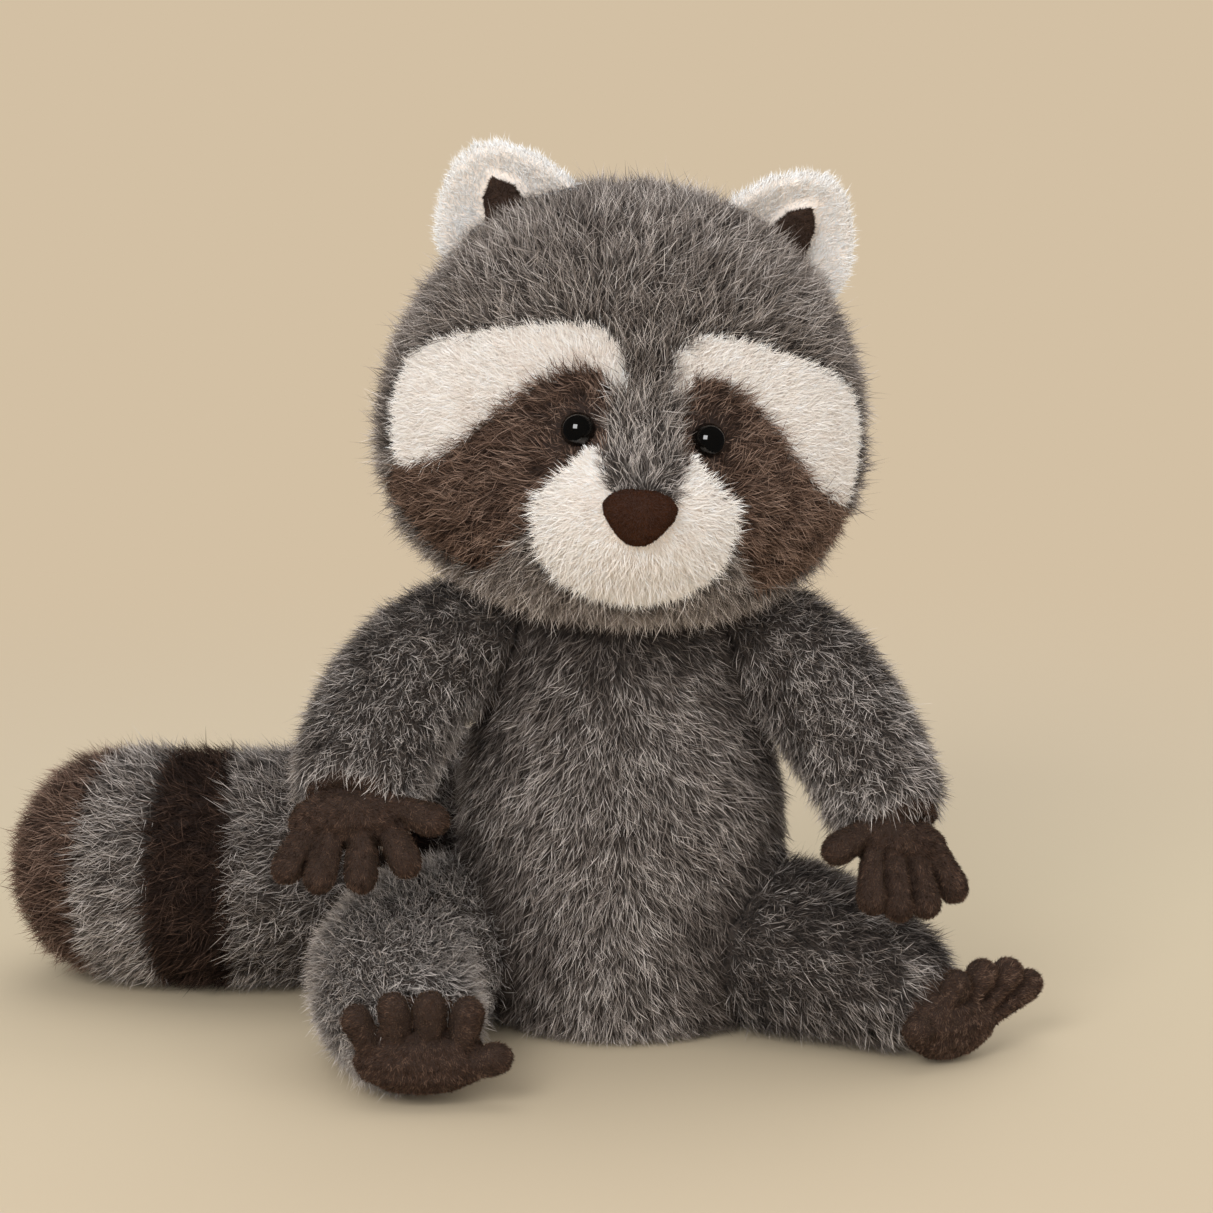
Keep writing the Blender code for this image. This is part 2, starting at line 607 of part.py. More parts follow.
def make_nose(head_grown, parts):
    """A padded velvet nose, broad above and pointed below, lying on the end of the muzzle."""
    bm = bmesh.new()
    bmesh.ops.create_uvsphere(bm, u_segments=NOSE_FACETS[0], v_segments=NOSE_FACETS[1], radius=1.0)
    for vert in bm.verts:
        x, y, z = vert.co
        width = 0.82 + 0.18 * math.sin(math.pi * 0.5 * max(-1.0, min(1.0, z * 1.4)))
        notch = 0.10 * max(0.0, z) * (1 - min(1.0, abs(x) * 1.6))
        vert.co = Vector((x * width * NOSE_HALF.x, y * NOSE_HALF.y, (z - notch) * NOSE_HALF.z))
    nose = add_object("nose", mesh_from(bm, "nose"), parts)
    tip = face_point(NOSE_SIDE, NOSE_HEIGHT)
    nose.data.transform(head_matrix() @ Matrix.Translation(tip) @ Matrix.Rotation(NOSE_LEAN, 4, "X"))
    combine(nose, head_grown, "DIFFERENCE", keep=True)
    return nose


def make_head(parts, cutters):
    """The head's cover in its sewn panels, its filling, and the eyes with their washers."""
    brow = BROW_UPPER + BROW_LOWER
    mask = [BROW_UPPER[0]] + MASK_LOWER + BROW_LOWER
    muzzle = MUZZLE_SIDE + mirrored(MUZZLE_SIDE[1:-1])
    shell = head_form("head_cover", parts, 0.0, *HEAD_FACETS)
    combine(shell, head_form("hollow", cutters, -COVER, *HEAD_INNER_FACETS), "DIFFERENCE")
    panels = {}

    def cut_panel(name, outline, finish, earlier):
        panel = add_object(name, shell.data.copy(), parts)
        combine(panel, seam_cutter("seam", outline, cutters), "INTERSECT")
        for other in earlier:
            combine(panel, seam_cutter("seam", other, cutters, GAP), "DIFFERENCE")
        panels[panel] = finish
        return panel

    muzzle_panel = cut_panel("muzzle_panel", muzzle, "cream_pile", [])
    mask_panels = {}
    outlines = [muzzle]
    for side in ("right", "left"):
        brow_side = mirrored(brow) if side == "right" else brow
        mask_side = mirrored(mask) if side == "right" else mask
        mask_panels[side] = cut_panel(f"mask_panel_{side}", mask_side, "brown_pile", [muzzle])
        cut_panel(f"brow_panel_{side}", brow_side, "cream_pile", [mask_side])
        outlines += [mask_side, brow_side]
    for outline in outlines:
        combine(shell, seam_cutter("seam", outline, cutters, GAP), "DIFFERENCE")
    combine(shell, rod("neck", NECK_RADIUS, NECK_LOW, NECK_HIGH, cutters, NECK_FACETS), "DIFFERENCE")
    filling = head_form("head_filling", parts, -COVER - GAP, *HEAD_INNER_FACETS)
    for side in ("right", "left"):
        eye = eye_form(f"eye_{side}", side, parts, cutters, 0.0)
        for piece in (muzzle_panel, mask_panels[side], filling):
            combine(piece, eye_form("socket", side, cutters, cutters, GAP), "DIFFERENCE")
        top = -COVER - WASHER_DEPTH
        washer = rod(f"eye_washer_{side}", WASHER_RADIUS, top - WASHER_THICKNESS, top, parts, WASHER_FACETS)
        combine(washer, rod("hole", POST_RADIUS + GAP, -1, 1, cutters, POST_FACETS), "DIFFERENCE")
        washer.data.transform(eye_frame(side))
        deep = -EYE_BACK - POST_LENGTH - 2 * GAP
        pocket = rod("pocket", WASHER_RADIUS + GAP, deep, 0, cutters, WASHER_FACETS)
        pocket.data.transform(eye_frame(side))
        combine(filling, pocket, "DIFFERENCE")
        panels[eye] = "black_gloss"
        panels[washer] = "washer_plastic"
    panels[shell] = "grey_pile"
    panels[filling] = "fibre_fill"
    return panels


def make_body(head_grown, parts, cutters):
    """The body's cover, open at the neck, and its filling."""
    cover = body_form("body_cover", parts, 0.0, BODY_FACETS)
    combine(cover, head_grown, "DIFFERENCE", keep=True)
    hollow = body_form("hollow", cutters, -COVER, BODY_INNER_FACETS)
    under_head = head_form("under_head", cutters, COVER + GAP, *HEAD_INNER_FACETS)
    combine(hollow, under_head, "DIFFERENCE")
    combine(cover, hollow, "DIFFERENCE")
    combine(cover, rod("neck", NECK_RADIUS, NECK_LOW, HEAD_CENTRE.z, cutters, NECK_FACETS), "DIFFERENCE")
    filling = body_form("body_filling", parts, -COVER - GAP, BODY_INNER_FACETS)
    under_cover = head_form("under_head", cutters, COVER + 2 * GAP, *HEAD_INNER_FACETS)
    combine(filling, under_cover, "DIFFERENCE")
    return {cover: "grey_pile", filling: "fibre_fill"}


def smooth_path(points):
    """A smooth line through points, with the distance along it at each of its own points."""
    count = len(points)
    dense = []
    for i in range(count - 1):
        before = points[max(i - 1, 0)]
        start, end = points[i], points[i + 1]
        after = points[min(i + 2, count - 1)]
        for k in range(TAIL_FINENESS):
            t = k / TAIL_FINENESS
            square = 2 * before - 5 * start + 4 * end - after
            cube = 3 * start - before - 3 * end + after
            dense.append(0.5 * (2 * start + (end - before) * t + square * t ** 2 + cube * t ** 3))
    dense.append(points[-1])
    lengths = [0.0]
    for a, b in zip(dense, dense[1:]):
        lengths.append(lengths[-1] + (b - a).length)
    return dense, lengths


def at_distance(dense, lengths, distance):
    for i in range(len(lengths) - 1):
        if lengths[i + 1] >= distance:
            share = (distance - lengths[i]) / (lengths[i + 1] - lengths[i])
            return dense[i].lerp(dense[i + 1], share)
    return dense[-1]


def tail_radius(from_root, from_tip, grow):
    swell = min(1.0, from_root / TAIL_SWELL)
    swell = swell * swell * (3 - 2 * swell)
    full = TAIL_ROOT_RADIUS + (TAIL_RADIUS - TAIL_ROOT_RADIUS) * swell + grow
    return full * dome(max(from_tip, 0.0), full * TAIL_TIP_ROUND)


def tail_form(name, start, end, collection, grow, sides):
    """The stretch of the tail between two distances from its tip."""
    dense, lengths = smooth_path([Vector(p) for p in TAIL_POINTS])
    total = lengths[-1]
    tip = -grow if start <= -grow else start
    distances = []
    if start <= 0:
        distances += [tip + (TAIL_RADIUS + grow) * share for share in TAIL_TIP_SHARES]
        distances = [d for d in distances if d < end]
    else:
        distances.append(start)
    last = distances[-1]
    step = TAIL_STEP if grow >= 0 else TAIL_INNER_STEP
    count = max(1, round((min(end, total) - last) / step))
    distances += [last + (min(end, total) - last) * (i + 1) / count for i in range(count)]
    points = [at_distance(dense, lengths, total - d) for d in distances]
    radii = [tail_radius(total - d, d - max(0.0, -grow), grow) for d in distances]
    return tube(name, points, radii, collection, sides)


def seam_block(distance, side, cutters):
    """A block on one side of a seam of the tail: side 1 lies towards the tip, side -1 towards the root."""
    dense, lengths = smooth_path([Vector(p) for p in TAIL_POINTS])
    here = lengths[-1] - distance
    outwards = at_distance(dense, lengths, here + BAND_SPARE) - at_distance(dense, lengths, here - BAND_SPARE)
    turn = Vector((0, 0, 1)).rotation_difference(outwards).to_matrix().to_4x4()
    frame = Matrix.Translation(at_distance(dense, lengths, here)) @ turn
    thick = BAND_SPARE * 3
    width = TAIL_RADIUS * 2.6
    return block("seam", (0, 0, side * (thick / 2 - GAP / 2)), (width, width, thick), cutters, frame)


def make_tail(body_grown, parts, cutters):
    """Rings of pile cloth sewn end to end over one filling."""
    pieces = {}
    total = smooth_path([Vector(p) for p in TAIL_POINTS])[1][-1]
    start = 0.0
    for number, (shade, length) in enumerate(TAIL_BANDS, 1):
        end = min(start + length, total)
        first, last = number == 1, number == len(TAIL_BANDS)
        low = 0.0 if first else start - BAND_SPARE
        high = end if last else end + BAND_SPARE
        band = tail_form(f"tail_band_{number}_{shade}", low, high, parts, 0.0, TAIL_SIDES)
        hollow = tail_form("hollow", -COVER, total + 1, cutters, -COVER, TAIL_HOLLOW_SIDES)
        combine(band, hollow, "DIFFERENCE")
        if not first:
            combine(band, seam_block(start, 1, cutters), "DIFFERENCE")
        if not last:
            combine(band, seam_block(end, -1, cutters), "DIFFERENCE")
        if last:
            combine(band, body_grown, "DIFFERENCE", keep=True)
        cut_floor(band, cutters)
        pieces[band] = "brown_pile" if shade == "dark" else "grey_pile"
        start = end
    filling = tail_form("tail_filling", -COVER, total + 1, parts, -COVER - 2 * GAP, TAIL_HOLLOW_SIDES)
    combine(filling, body_grown, "DIFFERENCE", keep=True)
    pieces[filling] = "fibre_fill"
    return pieces


def shade(obj, material):
    obj.data.materials.clear()
    obj.data.materials.append(material)
    obj.data.shade_smooth()
    obj.data.set_sharp_from_angle(angle=SHARP_EDGE)


def main():
    for obj in list(bpy.data.objects):
        bpy.data.objects.remove(obj)
    parts = new_collection("plush_raccoon")
    cutters = new_collection("cutters")
    finishes = {name: make_finish(name) for name in FINISHES}
    pieces = make_head(parts, cutters)
    head_grown = head_form("head_clearance", cutters, GAP, *HEAD_FACETS)
    body_grown = body_form("body_clearance", cutters, GAP, BODY_FACETS)
    pieces[make_nose(head_grown, parts)] = "nose_velvet"
    pieces.update(make_ears(head_grown, parts, cutters))
    pieces.update(make_body(head_grown, parts, cutters))
    pieces.update(make_tail(body_grown, parts, cutters))
    for side in ("right", "left"):
        for kind, end, paths, radii, pads, digits in (
                ("arm", "hand", ARM_PATHS, ARM_RADII, HAND_PADS, HAND_FINGERS),
                ("leg", "foot", LEG_PATHS, LEG_RADII, FOOT_PADS, FOOT_TOES)):
            path = paths[side]
            sleeve, filling = make_limb(side, kind, path, radii[side], body_grown, head_grown, parts, cutters)
            plug = (radii[side][-1] - LIMB_COVER) * math.cos(math.pi / HOLLOW_SIDES) - GAP
            paw = make_paw(f"{end}_{side}", pads[side], digits[side], path, plug, parts, cutters)
            pieces[sleeve] = "grey_pile"
            pieces[filling] = "fibre_fill"
            pieces[paw] = "brown_velvet"
    for obj, finish in pieces.items():
        shade(obj, finishes[finish])
    for cutter in cutters.objects:
        cutter.hide_render = True
        cutter.display_type = "WIRE"


main()
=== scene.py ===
import json
import math
import time

import bmesh
import bpy
import numpy as np
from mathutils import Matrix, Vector
from mathutils.bvhtree import BVHTree


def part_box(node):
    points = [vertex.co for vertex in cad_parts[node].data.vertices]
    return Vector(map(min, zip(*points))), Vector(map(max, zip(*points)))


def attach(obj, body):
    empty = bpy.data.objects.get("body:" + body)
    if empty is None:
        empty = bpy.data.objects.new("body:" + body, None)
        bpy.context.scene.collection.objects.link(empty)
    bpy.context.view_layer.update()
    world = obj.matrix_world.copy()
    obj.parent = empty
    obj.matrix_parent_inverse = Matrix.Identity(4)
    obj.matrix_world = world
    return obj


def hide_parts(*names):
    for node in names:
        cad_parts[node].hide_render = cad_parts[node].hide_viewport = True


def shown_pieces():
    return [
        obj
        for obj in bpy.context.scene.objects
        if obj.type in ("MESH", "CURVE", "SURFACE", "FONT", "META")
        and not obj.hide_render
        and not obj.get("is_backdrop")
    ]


# A seated plush raccoon. The toy faces -Y, and its own right side lies towards -X.
# Soft skins are made from the model's covers, and the pile is grown on them as real strands.

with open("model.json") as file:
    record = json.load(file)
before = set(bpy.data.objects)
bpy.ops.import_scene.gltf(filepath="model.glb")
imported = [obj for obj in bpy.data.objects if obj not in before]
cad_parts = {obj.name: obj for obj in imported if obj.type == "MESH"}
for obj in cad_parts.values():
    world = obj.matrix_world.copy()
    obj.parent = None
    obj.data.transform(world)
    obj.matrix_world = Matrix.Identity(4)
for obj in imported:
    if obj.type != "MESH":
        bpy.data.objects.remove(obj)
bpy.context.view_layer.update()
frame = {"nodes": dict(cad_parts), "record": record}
nodes = frame["nodes"]
began = time.time()


def report(text):
    print(f"plush raccoon {time.time() - began:6.1f} s: {text}")


def linear(red, green, blue):
    # a colour as seen on a screen, 0 to 255, to the values that a shader takes
    return tuple(((c / 255 + 0.055) / 1.055) ** 2.4 if c > 10 else c / 255 / 12.92 for c in (red, green, blue))


# Node trees, written as calls

class Wire:
    # an output socket; Python's operators on it add Math or Vector Math nodes
    def __init__(self, web, socket):
        self.web = web
        self.socket = socket

    def vector(self):
        return self.socket.type == "VECTOR"

    def __add__(self, other):
        return self.web.maths("ADD", self, other)

    def __radd__(self, other):
        return self.web.maths("ADD", other, self)

    def __sub__(self, other):
        return self.web.maths("SUBTRACT", self, other)

    def __rsub__(self, other):
        return self.web.maths("SUBTRACT", other, self)

    def __mul__(self, other):
        return self.web.maths("MULTIPLY", self, other)

    def __rmul__(self, other):
        return self.web.maths("MULTIPLY", other, self)

    def __rtruediv__(self, other):
        return self.web.maths("DIVIDE", other, self)


class Web:
    # a node tree that is written as calls
    def __init__(self, tree):
        self.tree = tree

    def pick(self, sockets, key):
        shown = [s for s in sockets if s.enabled]
        return shown[key] if isinstance(key, int) else next(s for s in shown if s.name == key)

    def node(self, kind, settings=None, inputs=None, output=0):
        made = self.tree.nodes.new(kind)
        for name, value in (settings or {}).items():
            if name == "stops":
                self.setStops(made.color_ramp, value)
            else:
                setattr(made, name, value)
        for key, value in (inputs or {}).items():
            socket = self.pick(made.inputs, key)
            if isinstance(value, Wire):
                self.tree.links.new(value.socket, socket)
            else:
                socket.default_value = value
        return Wire(self, self.pick(made.outputs, output)) if made.outputs else made

    def setStops(self, ramp, stops):
        while len(ramp.elements) < len(stops):
            ramp.elements.new(0.5)
        for element, (place, colour) in zip(ramp.elements, stops):
            element.position = place
            element.color = (*colour, 1.0) if len(colour) == 3 else colour

    def maths(self, operation, a, b):
        vectors = [v for v in (a, b) if isinstance(v, Wire) and v.vector()]
        if not vectors:
            return self.node("ShaderNodeMath", {"operation": operation}, {0: a, 1: b})
        if operation == "MULTIPLY" and len(vectors) == 1:
            number = b if vectors[0] is a else a
            if not isinstance(number, (tuple, Vector)):
                return self.node("ShaderNodeVectorMath", {"operation": "SCALE"}, {0: vectors[0], "Scale": number})
        return self.node("ShaderNodeVectorMath", {"operation": operation}, {0: a, 1: b})

    def clamp(self, value, low=0.0, high=1.0):
        return self.node("ShaderNodeClamp", {}, {"Value": value, "Min": low, "Max": high})

    def unit(self, vector):
        return self.node("ShaderNodeVectorMath", {"operation": "NORMALIZE"}, {0: vector})

    def cross(self, a, b):
        return self.node("ShaderNodeVectorMath", {"operation": "CROSS_PRODUCT"}, {0: a, 1: b})

    def dot(self, a, b):
        return self.node("ShaderNodeVectorMath", {"operation": "DOT_PRODUCT"}, {0: a, 1: b}, "Value")

    def flatten(self, vector, normal):
        # the part of a vector that lies along the surface
        return vector - normal * self.dot(vector, normal)

    def attribute(self, name, kind="FLOAT"):
        return self.node("GeometryNodeInputNamedAttribute", {"data_type": kind}, {"Name": name}, "Attribute")

    def store(self, geometry, name, value, kind="FLOAT", domain="POINT"):
        return self.node("GeometryNodeStoreNamedAttribute", {"data_type": kind, "domain": domain},
                         {"Geometry": geometry, "Name": name, "Value": value})

    def chance(self, low, high, seed, kind="FLOAT"):
        return self.node("FunctionNodeRandomValue", {"data_type": kind}, {"Min": low, "Max": high, "Seed": seed},
                         "Value")


# Skins: closed soft forms that carry the pile

skins = {
    "voxel": 0.0026,      # size of a facet of the soft skins
    "smoothing": 5,
    "inset": 0.0026,      # the skin lies this far under the middle of the pile
    "contact": 0.0005,    # no pile grows where a skin lies this near to another piece
    "ramp": 0.0010,       # and it reaches its full density this much further out
    "bare": 0.15,         # share of the inset where no pile grows
    "cuff": 0.0008,       # nor does pile grow this near to the paw at a sleeve's end
    "lowest": 0.0012,     # the skins stay this far above the floor
}
fields = ("open", "facing", "shine", "lie", "short", "tint")  # what a skin tells its pile, point by point


def meshOf(names):
    # the named nodes' meshes as one, with their doubled corners merged
    bm = bmesh.new()
    for name in names:
        bm.from_mesh(nodes[name].data)
    bmesh.ops.remove_doubles(bm, verts=bm.verts, dist=0.00001)
    mesh = bpy.data.meshes.new("merged")
    bm.to_mesh(mesh)
    bm.free()
    return mesh


def treeOf(names):
    bm = bmesh.new()
    for name in names:
        bm.from_mesh(nodes[name].data)
    tree = BVHTree.FromBMesh(bm)
    bm.free()
    return tree


def place(name, mesh):
    obj = bpy.data.objects.new(name, mesh)
    bpy.context.scene.collection.objects.link(obj)
    return obj


def settle(obj):
    # apply the object's modifiers to its mesh
    graph = bpy.context.evaluated_depsgraph_get()
    mesh = bpy.data.meshes.new_from_object(obj.evaluated_get(graph), preserve_all_data_layers=True, depsgraph=graph)
    obj.modifiers.clear()
    old = obj.data
    obj.data = mesh
    bpy.data.meshes.remove(old)
    return obj


def softForm(name, members, voxel, smoothing):
    # one closed, smooth form round the named nodes
    obj = place(name, meshOf(members))
    remesh = obj.modifiers.new("remesh", "REMESH")
    remesh.mode = "VOXEL"
    remesh.voxel_size = voxel
    remesh.adaptivity = 0
    smooth = obj.modifiers.new("smooth", "SMOOTH")
    smooth.factor = 0.5
    smooth.iterations = smoothing
    settle(obj)
    keepLargest(obj.data)
    obj.data.shade_smooth()
    return obj


def keepLargest(mesh):
    # drop loose inner walls that a remesh can leave
    bm = bmesh.new()
    bm.from_mesh(mesh)
    left = set(bm.verts)
    groups = []
    while left:
        start = left.pop()
        group, edge = [start], [start]
        while edge:
            vert = edge.pop()
            for link in vert.link_edges:
                other = link.other_vert(vert)
                if other in left:
                    left.discard(other)
                    group.append(other)
                    edge.append(other)
        groups.append(group)
    groups.sort(key=len, reverse=True)
    for group in groups[1:]:
        bmesh.ops.delete(bm, geom=group, context="VERTS")
    bmesh.ops.recalc_face_normals(bm, faces=bm.faces)
    bm.to_mesh(mesh)
    bm.free()


def points(mesh):
    out = np.empty(len(mesh.vertices) * 3)
    mesh.vertices.foreach_get("co", out)
    return out.reshape(-1, 3)


def normals(mesh):
    out = np.empty(len(mesh.vertices) * 3, dtype=np.float32)
    mesh.vertex_normals.foreach_get("vector", out)
    return out.reshape(-1, 3).astype(float)


def setPoints(mesh, values):
    mesh.vertices.foreach_set("co", values.ravel())
    mesh.update()


def distances(tree, values, reach=0.05):
    # how far each point lies from a surface, up to a reach
    found = (tree.find_nearest(p, reach)[3] for p in values)
    return np.array([reach if gap is None else gap for gap in found])


def unitRows(values):
    return values / np.maximum(np.linalg.norm(values, axis=1, keepdims=True), 1e-9)


def addField(mesh, name, values):
    # store numbers or vectors on a mesh's points
    kind = "FLOAT_VECTOR" if values.ndim == 2 else "FLOAT"
    layer = mesh.attributes.new(name, kind, "POINT")
    layer.data.foreach_set("vector" if values.ndim == 2 else "value", values.astype(np.float32).ravel())


# How the pile lies

tailPoints = [(0.000, 0.018, 0.030), (-0.008, 0.047, 0.032), (-0.034, 0.069, 0.0355), (-0.066, 0.060, 0.0363),
              (-0.098, 0.040, 0.0363), (-0.130, 0.037, 0.0363), (-0.160, 0.045, 0.0363), (-0.200, 0.062, 0.0363)]
limbPoints = {
    "arm_right": [(-0.036, -0.004, 0.122), (-0.071, -0.014, 0.114), (-0.0775, -0.055, 0.0815)],
    "arm_left": [(0.037, -0.004, 0.121), (0.062, -0.010, 0.111), (0.0795, -0.041, 0.0720)],
    "leg_right": [(-0.036, -0.002, 0.0255), (-0.084, -0.026, 0.0295), (-0.0580, -0.083, 0.0175)],
    "leg_left": [(0.030, -0.004, 0.0265), (0.062, -0.026, 0.0300), (0.0890, -0.0405, 0.0160)],
}


def bent(start, pull, end, count=16):
    steps = np.linspace(0, 1, count)[:, None]
    return np.array(start) * (1 - steps) ** 2 + np.array(pull) * 2 * steps * (1 - steps) + np.array(end) * steps ** 2


def alongPath(path, values):
    # the direction of a path at its nearest point to each value
    path = np.array(path)
    middles = (path[1:] + path[:-1]) / 2
    runs = unitRows(path[1:] - path[:-1])
    gaps = np.linalg.norm(values[:, None] - middles[None], axis=2)
    weights = 1 / np.maximum(gaps, 0.004) ** 4
    return unitRows(weights @ runs)


def headLie(values):
    # the face's hairs run away from the nose, and the back's run down
    nose = np.array(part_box("nose")).mean(axis=0)
    away = unitRows(values - nose)
    down = np.array([0, 0, -1.0])
    back = np.clip((values[:, 1] + 0.01) / 0.05, 0, 1)[:, None]
    return away + down * (0.25 + 0.9 * back)


def bodyLie(values):
    # down, and towards the toy's left on that side of the belly
    out = np.zeros_like(values)
    out[:, 2] = -1
    out[:, 0] = np.clip((values[:, 0] + 0.008) / 0.03, -0.35, 1) * 0.8
    return out


def limbLie(limb, values):
    return alongPath(bent(*limbPoints[limb]), values) + np.array([0, 0, -0.15])


def tailLie(values):
    return alongPath(tailPoints, values) + np.array([0, 0, -0.1])


def earLie(ear, values):
    low, high = np.array(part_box(ear))
    foot = np.array([(low[0] + high[0]) / 2 * 0.75, (low[1] + high[1]) / 2, low[2] - 0.004])
    return unitRows(values - foot)


# The pile

def bladeMesh(name, corners, faces, along):
    # a strand that narrows to a point; its points know how far along and across it they lie
    mesh = bpy.data.meshes.new(name)
    mesh.from_pydata(corners, [], faces)
    addField(mesh, "along", np.array(along))
    addField(mesh, "across", np.array([float(c[0]) for c in corners]))
    return place(name, mesh)


guardBlade = bladeMesh("guard_blade", [(0, 0, 0), (-1, 0, 0.45), (1, 0, 0.45), (0, 0, 1)],
                       [(0, 2, 1), (1, 2, 3)], [0, 0.45, 0.45, 1.0])
underBlade = bladeMesh("under_blade", [(-1, 0, 0), (1, 0, 0), (0, 0, 1)], [(0, 1, 2)], [0, 0, 1.0])
pileSizes = {
    "Strand Width": 0.00017, "Under Width": 0.95, "Under Length": 0.74, "Guard Share": 0.45, "Bright Share": 0.34,
    "Spread": 0.6, "Cowlick": 0.55, "Cowlick Size": 0.024, "Swirl": 0.9, "Swirl Size": 0.0055,
    "Clump Size": 0.0036, "Clump Pull": 0.34, "Droop": 0.18, "Curl": 0.26, "Stray": 0.05, "Lift Spread": 0.24,
    "Clump Tone": 0.45, "Softness": 0.6,
}


def makePileTree():
    tree = bpy.data.node_groups.new("pile", "GeometryNodeTree")
    face = tree.interface
    face.new_socket("Geometry", in_out="INPUT", socket_type="NodeSocketGeometry")
    for name in pileSizes:
        face.new_socket(name, in_out="INPUT", socket_type="NodeSocketFloat")
    face.new_socket("Seed", in_out="INPUT", socket_type="NodeSocketInt")
    face.new_socket("Guard Blade", in_out="INPUT", socket_type="NodeSocketObject")
    face.new_socket("Under Blade", in_out="INPUT", socket_type="NodeSocketObject")
    face.new_socket("Finish", in_out="INPUT", socket_type="NodeSocketMaterial")
    face.new_socket("Geometry", in_out="OUTPUT", socket_type="NodeSocketGeometry")
    web = Web(tree)
    given = tree.nodes.new("NodeGroupInput")
    size = {s.name: Wire(web, s) for s in given.outputs if s.name}

    def above(value, limit):
        # 1 where a value is over a limit, and 0 elsewhere
        return web.node("ShaderNodeMath", {"operation": "GREATER_THAN"}, {0: value, 1: limit})

    def noise(where, scale):
        found = web.node("ShaderNodeTexNoise", {"noise_dimensions": "3D"},
                         {"Vector": where, "Scale": 1 / scale, "Detail": 1.0}, "Color")
        return web.node("ShaderNodeVectorMath", {"operation": "SUBTRACT"}, {0: found, 1: (0.5, 0.5, 0.5)})

    grown = web.node("GeometryNodeDistributePointsOnFaces", {"distribute_method": "RANDOM"},
                     {"Mesh": size["Geometry"], "Density": web.attribute("density"), "Seed": size["Seed"]}, "Points")
    root = web.node("GeometryNodeInputPosition")
    normal = web.unit(web.attribute("facing", "FLOAT_VECTOR"))
    lie = web.attribute("lie", "FLOAT_VECTOR")
    rise = web.attribute("rise")
    guard = above(size["Guard Share"], web.chance(0.0, 1.0, 18))
    bright = guard * above(size["Bright Share"], web.chance(0.0, 1.0, 19))
    stray = guard * above(size["Stray"], web.chance(0.0, 1.0, 13))

    # direction: the lie of the pile, turned by cowlicks, small swirls and a spread of its own
    loose = web.chance((-1, -1, -1), (1, 1, 1), 11, "FLOAT_VECTOR")
    combed = web.unit(web.flatten(lie, normal)) + noise(root, size["Cowlick Size"]) * (size["Cowlick"] * 3.0)
    combed = combed + noise(root, size["Swirl Size"]) * (size["Swirl"] * 3.0) + loose * size["Spread"]
    combed = web.unit(web.flatten(combed, normal))
    lift = web.clamp(rise + web.chance(-1.0, 1.0, 12) * size["Lift Spread"], 0.05, 0.98)
    flat = web.node("ShaderNodeMath", {"operation": "SQRT"}, {0: 1 - lift * lift})
    stem = combed * flat + normal * lift

    # tufts: strands lean towards the middle of their tuft
    cell = web.node("ShaderNodeTexVoronoi", {"voronoi_dimensions": "3D"},
                    {"Vector": root, "Scale": 1 / size["Clump Size"]}, "Position")
    tuft = Wire(web, cell.socket.node.outputs["Color"])
    inwards = web.flatten(cell - root, normal)
    length = web.attribute("reach") * (size["Under Length"] + guard * (1 - size["Under Length"]))
    length = length * web.chance(0.70, 1.18, 14) * (1 + stray * 0.35)
    lean = combed * (size["Droop"] * length) - normal * (size["Droop"] * length * 0.8)
    lean = lean + inwards * (size["Clump Pull"] * (1 - stray)) + loose * (size["Curl"] * length)

    # a strand's flat side looks outwards, give or take a twist
    side = web.unit(web.cross(stem, normal))
    twist = web.chance(-0.9, 0.9, 15)
    side = side * web.node("ShaderNodeMath", {"operation": "COSINE"}, {0: twist}) \
        + web.cross(stem, side) * web.node("ShaderNodeMath", {"operation": "SINE"}, {0: twist})
    width = size["Strand Width"] * web.chance(0.7, 1.25, 16)
    width = width * (size["Under Width"] + guard * (1 - size["Under Width"]))

    # tone: dark under the pile, middling guard hairs, and some bright ones
    tuftTone = web.dot(web.node("ShaderNodeVectorMath", {"operation": "SUBTRACT"}, {0: tuft, 1: (0.5, 0.5, 0.5)}),
                       (1.0, 0.0, 0.0))
    tone = web.chance(0.0, 0.45, 17) + guard * 0.28 + bright * 0.32 + web.attribute("tint")
    tone = tone + tuftTone * size["Clump Tone"]

    for name, value, kind in (("root", root, "FLOAT_VECTOR"), ("stem", stem * length, "FLOAT_VECTOR"),
                              ("lean", lean, "FLOAT_VECTOR"), ("side", side * width, "FLOAT_VECTOR"),
                              ("tone", web.clamp(tone), "FLOAT"), ("guard", guard, "FLOAT")):
        grown = web.store(grown, name, value, kind)
    joined = web.node("GeometryNodeJoinGeometry")
    isGuard = web.node("FunctionNodeCompare", {"data_type": "FLOAT", "operation": "GREATER_THAN"},
                       {"A": web.attribute("guard"), "B": 0.5})
    isUnder = web.node("FunctionNodeBooleanMath", {"operation": "NOT"}, {0: isGuard})
    for kind, chosen in (("Guard Blade", isGuard), ("Under Blade", isUnder)):
        shape = web.node("GeometryNodeObjectInfo", {}, {"Object": size[kind]}, "Geometry")
        strands = web.node("GeometryNodeInstanceOnPoints", {},
                           {"Points": grown, "Selection": chosen, "Instance": shape}, "Instances")
        tree.links.new(strands.socket, joined.socket.node.inputs[0])
    strands = web.node("GeometryNodeRealizeInstances", {}, {"Geometry": joined})

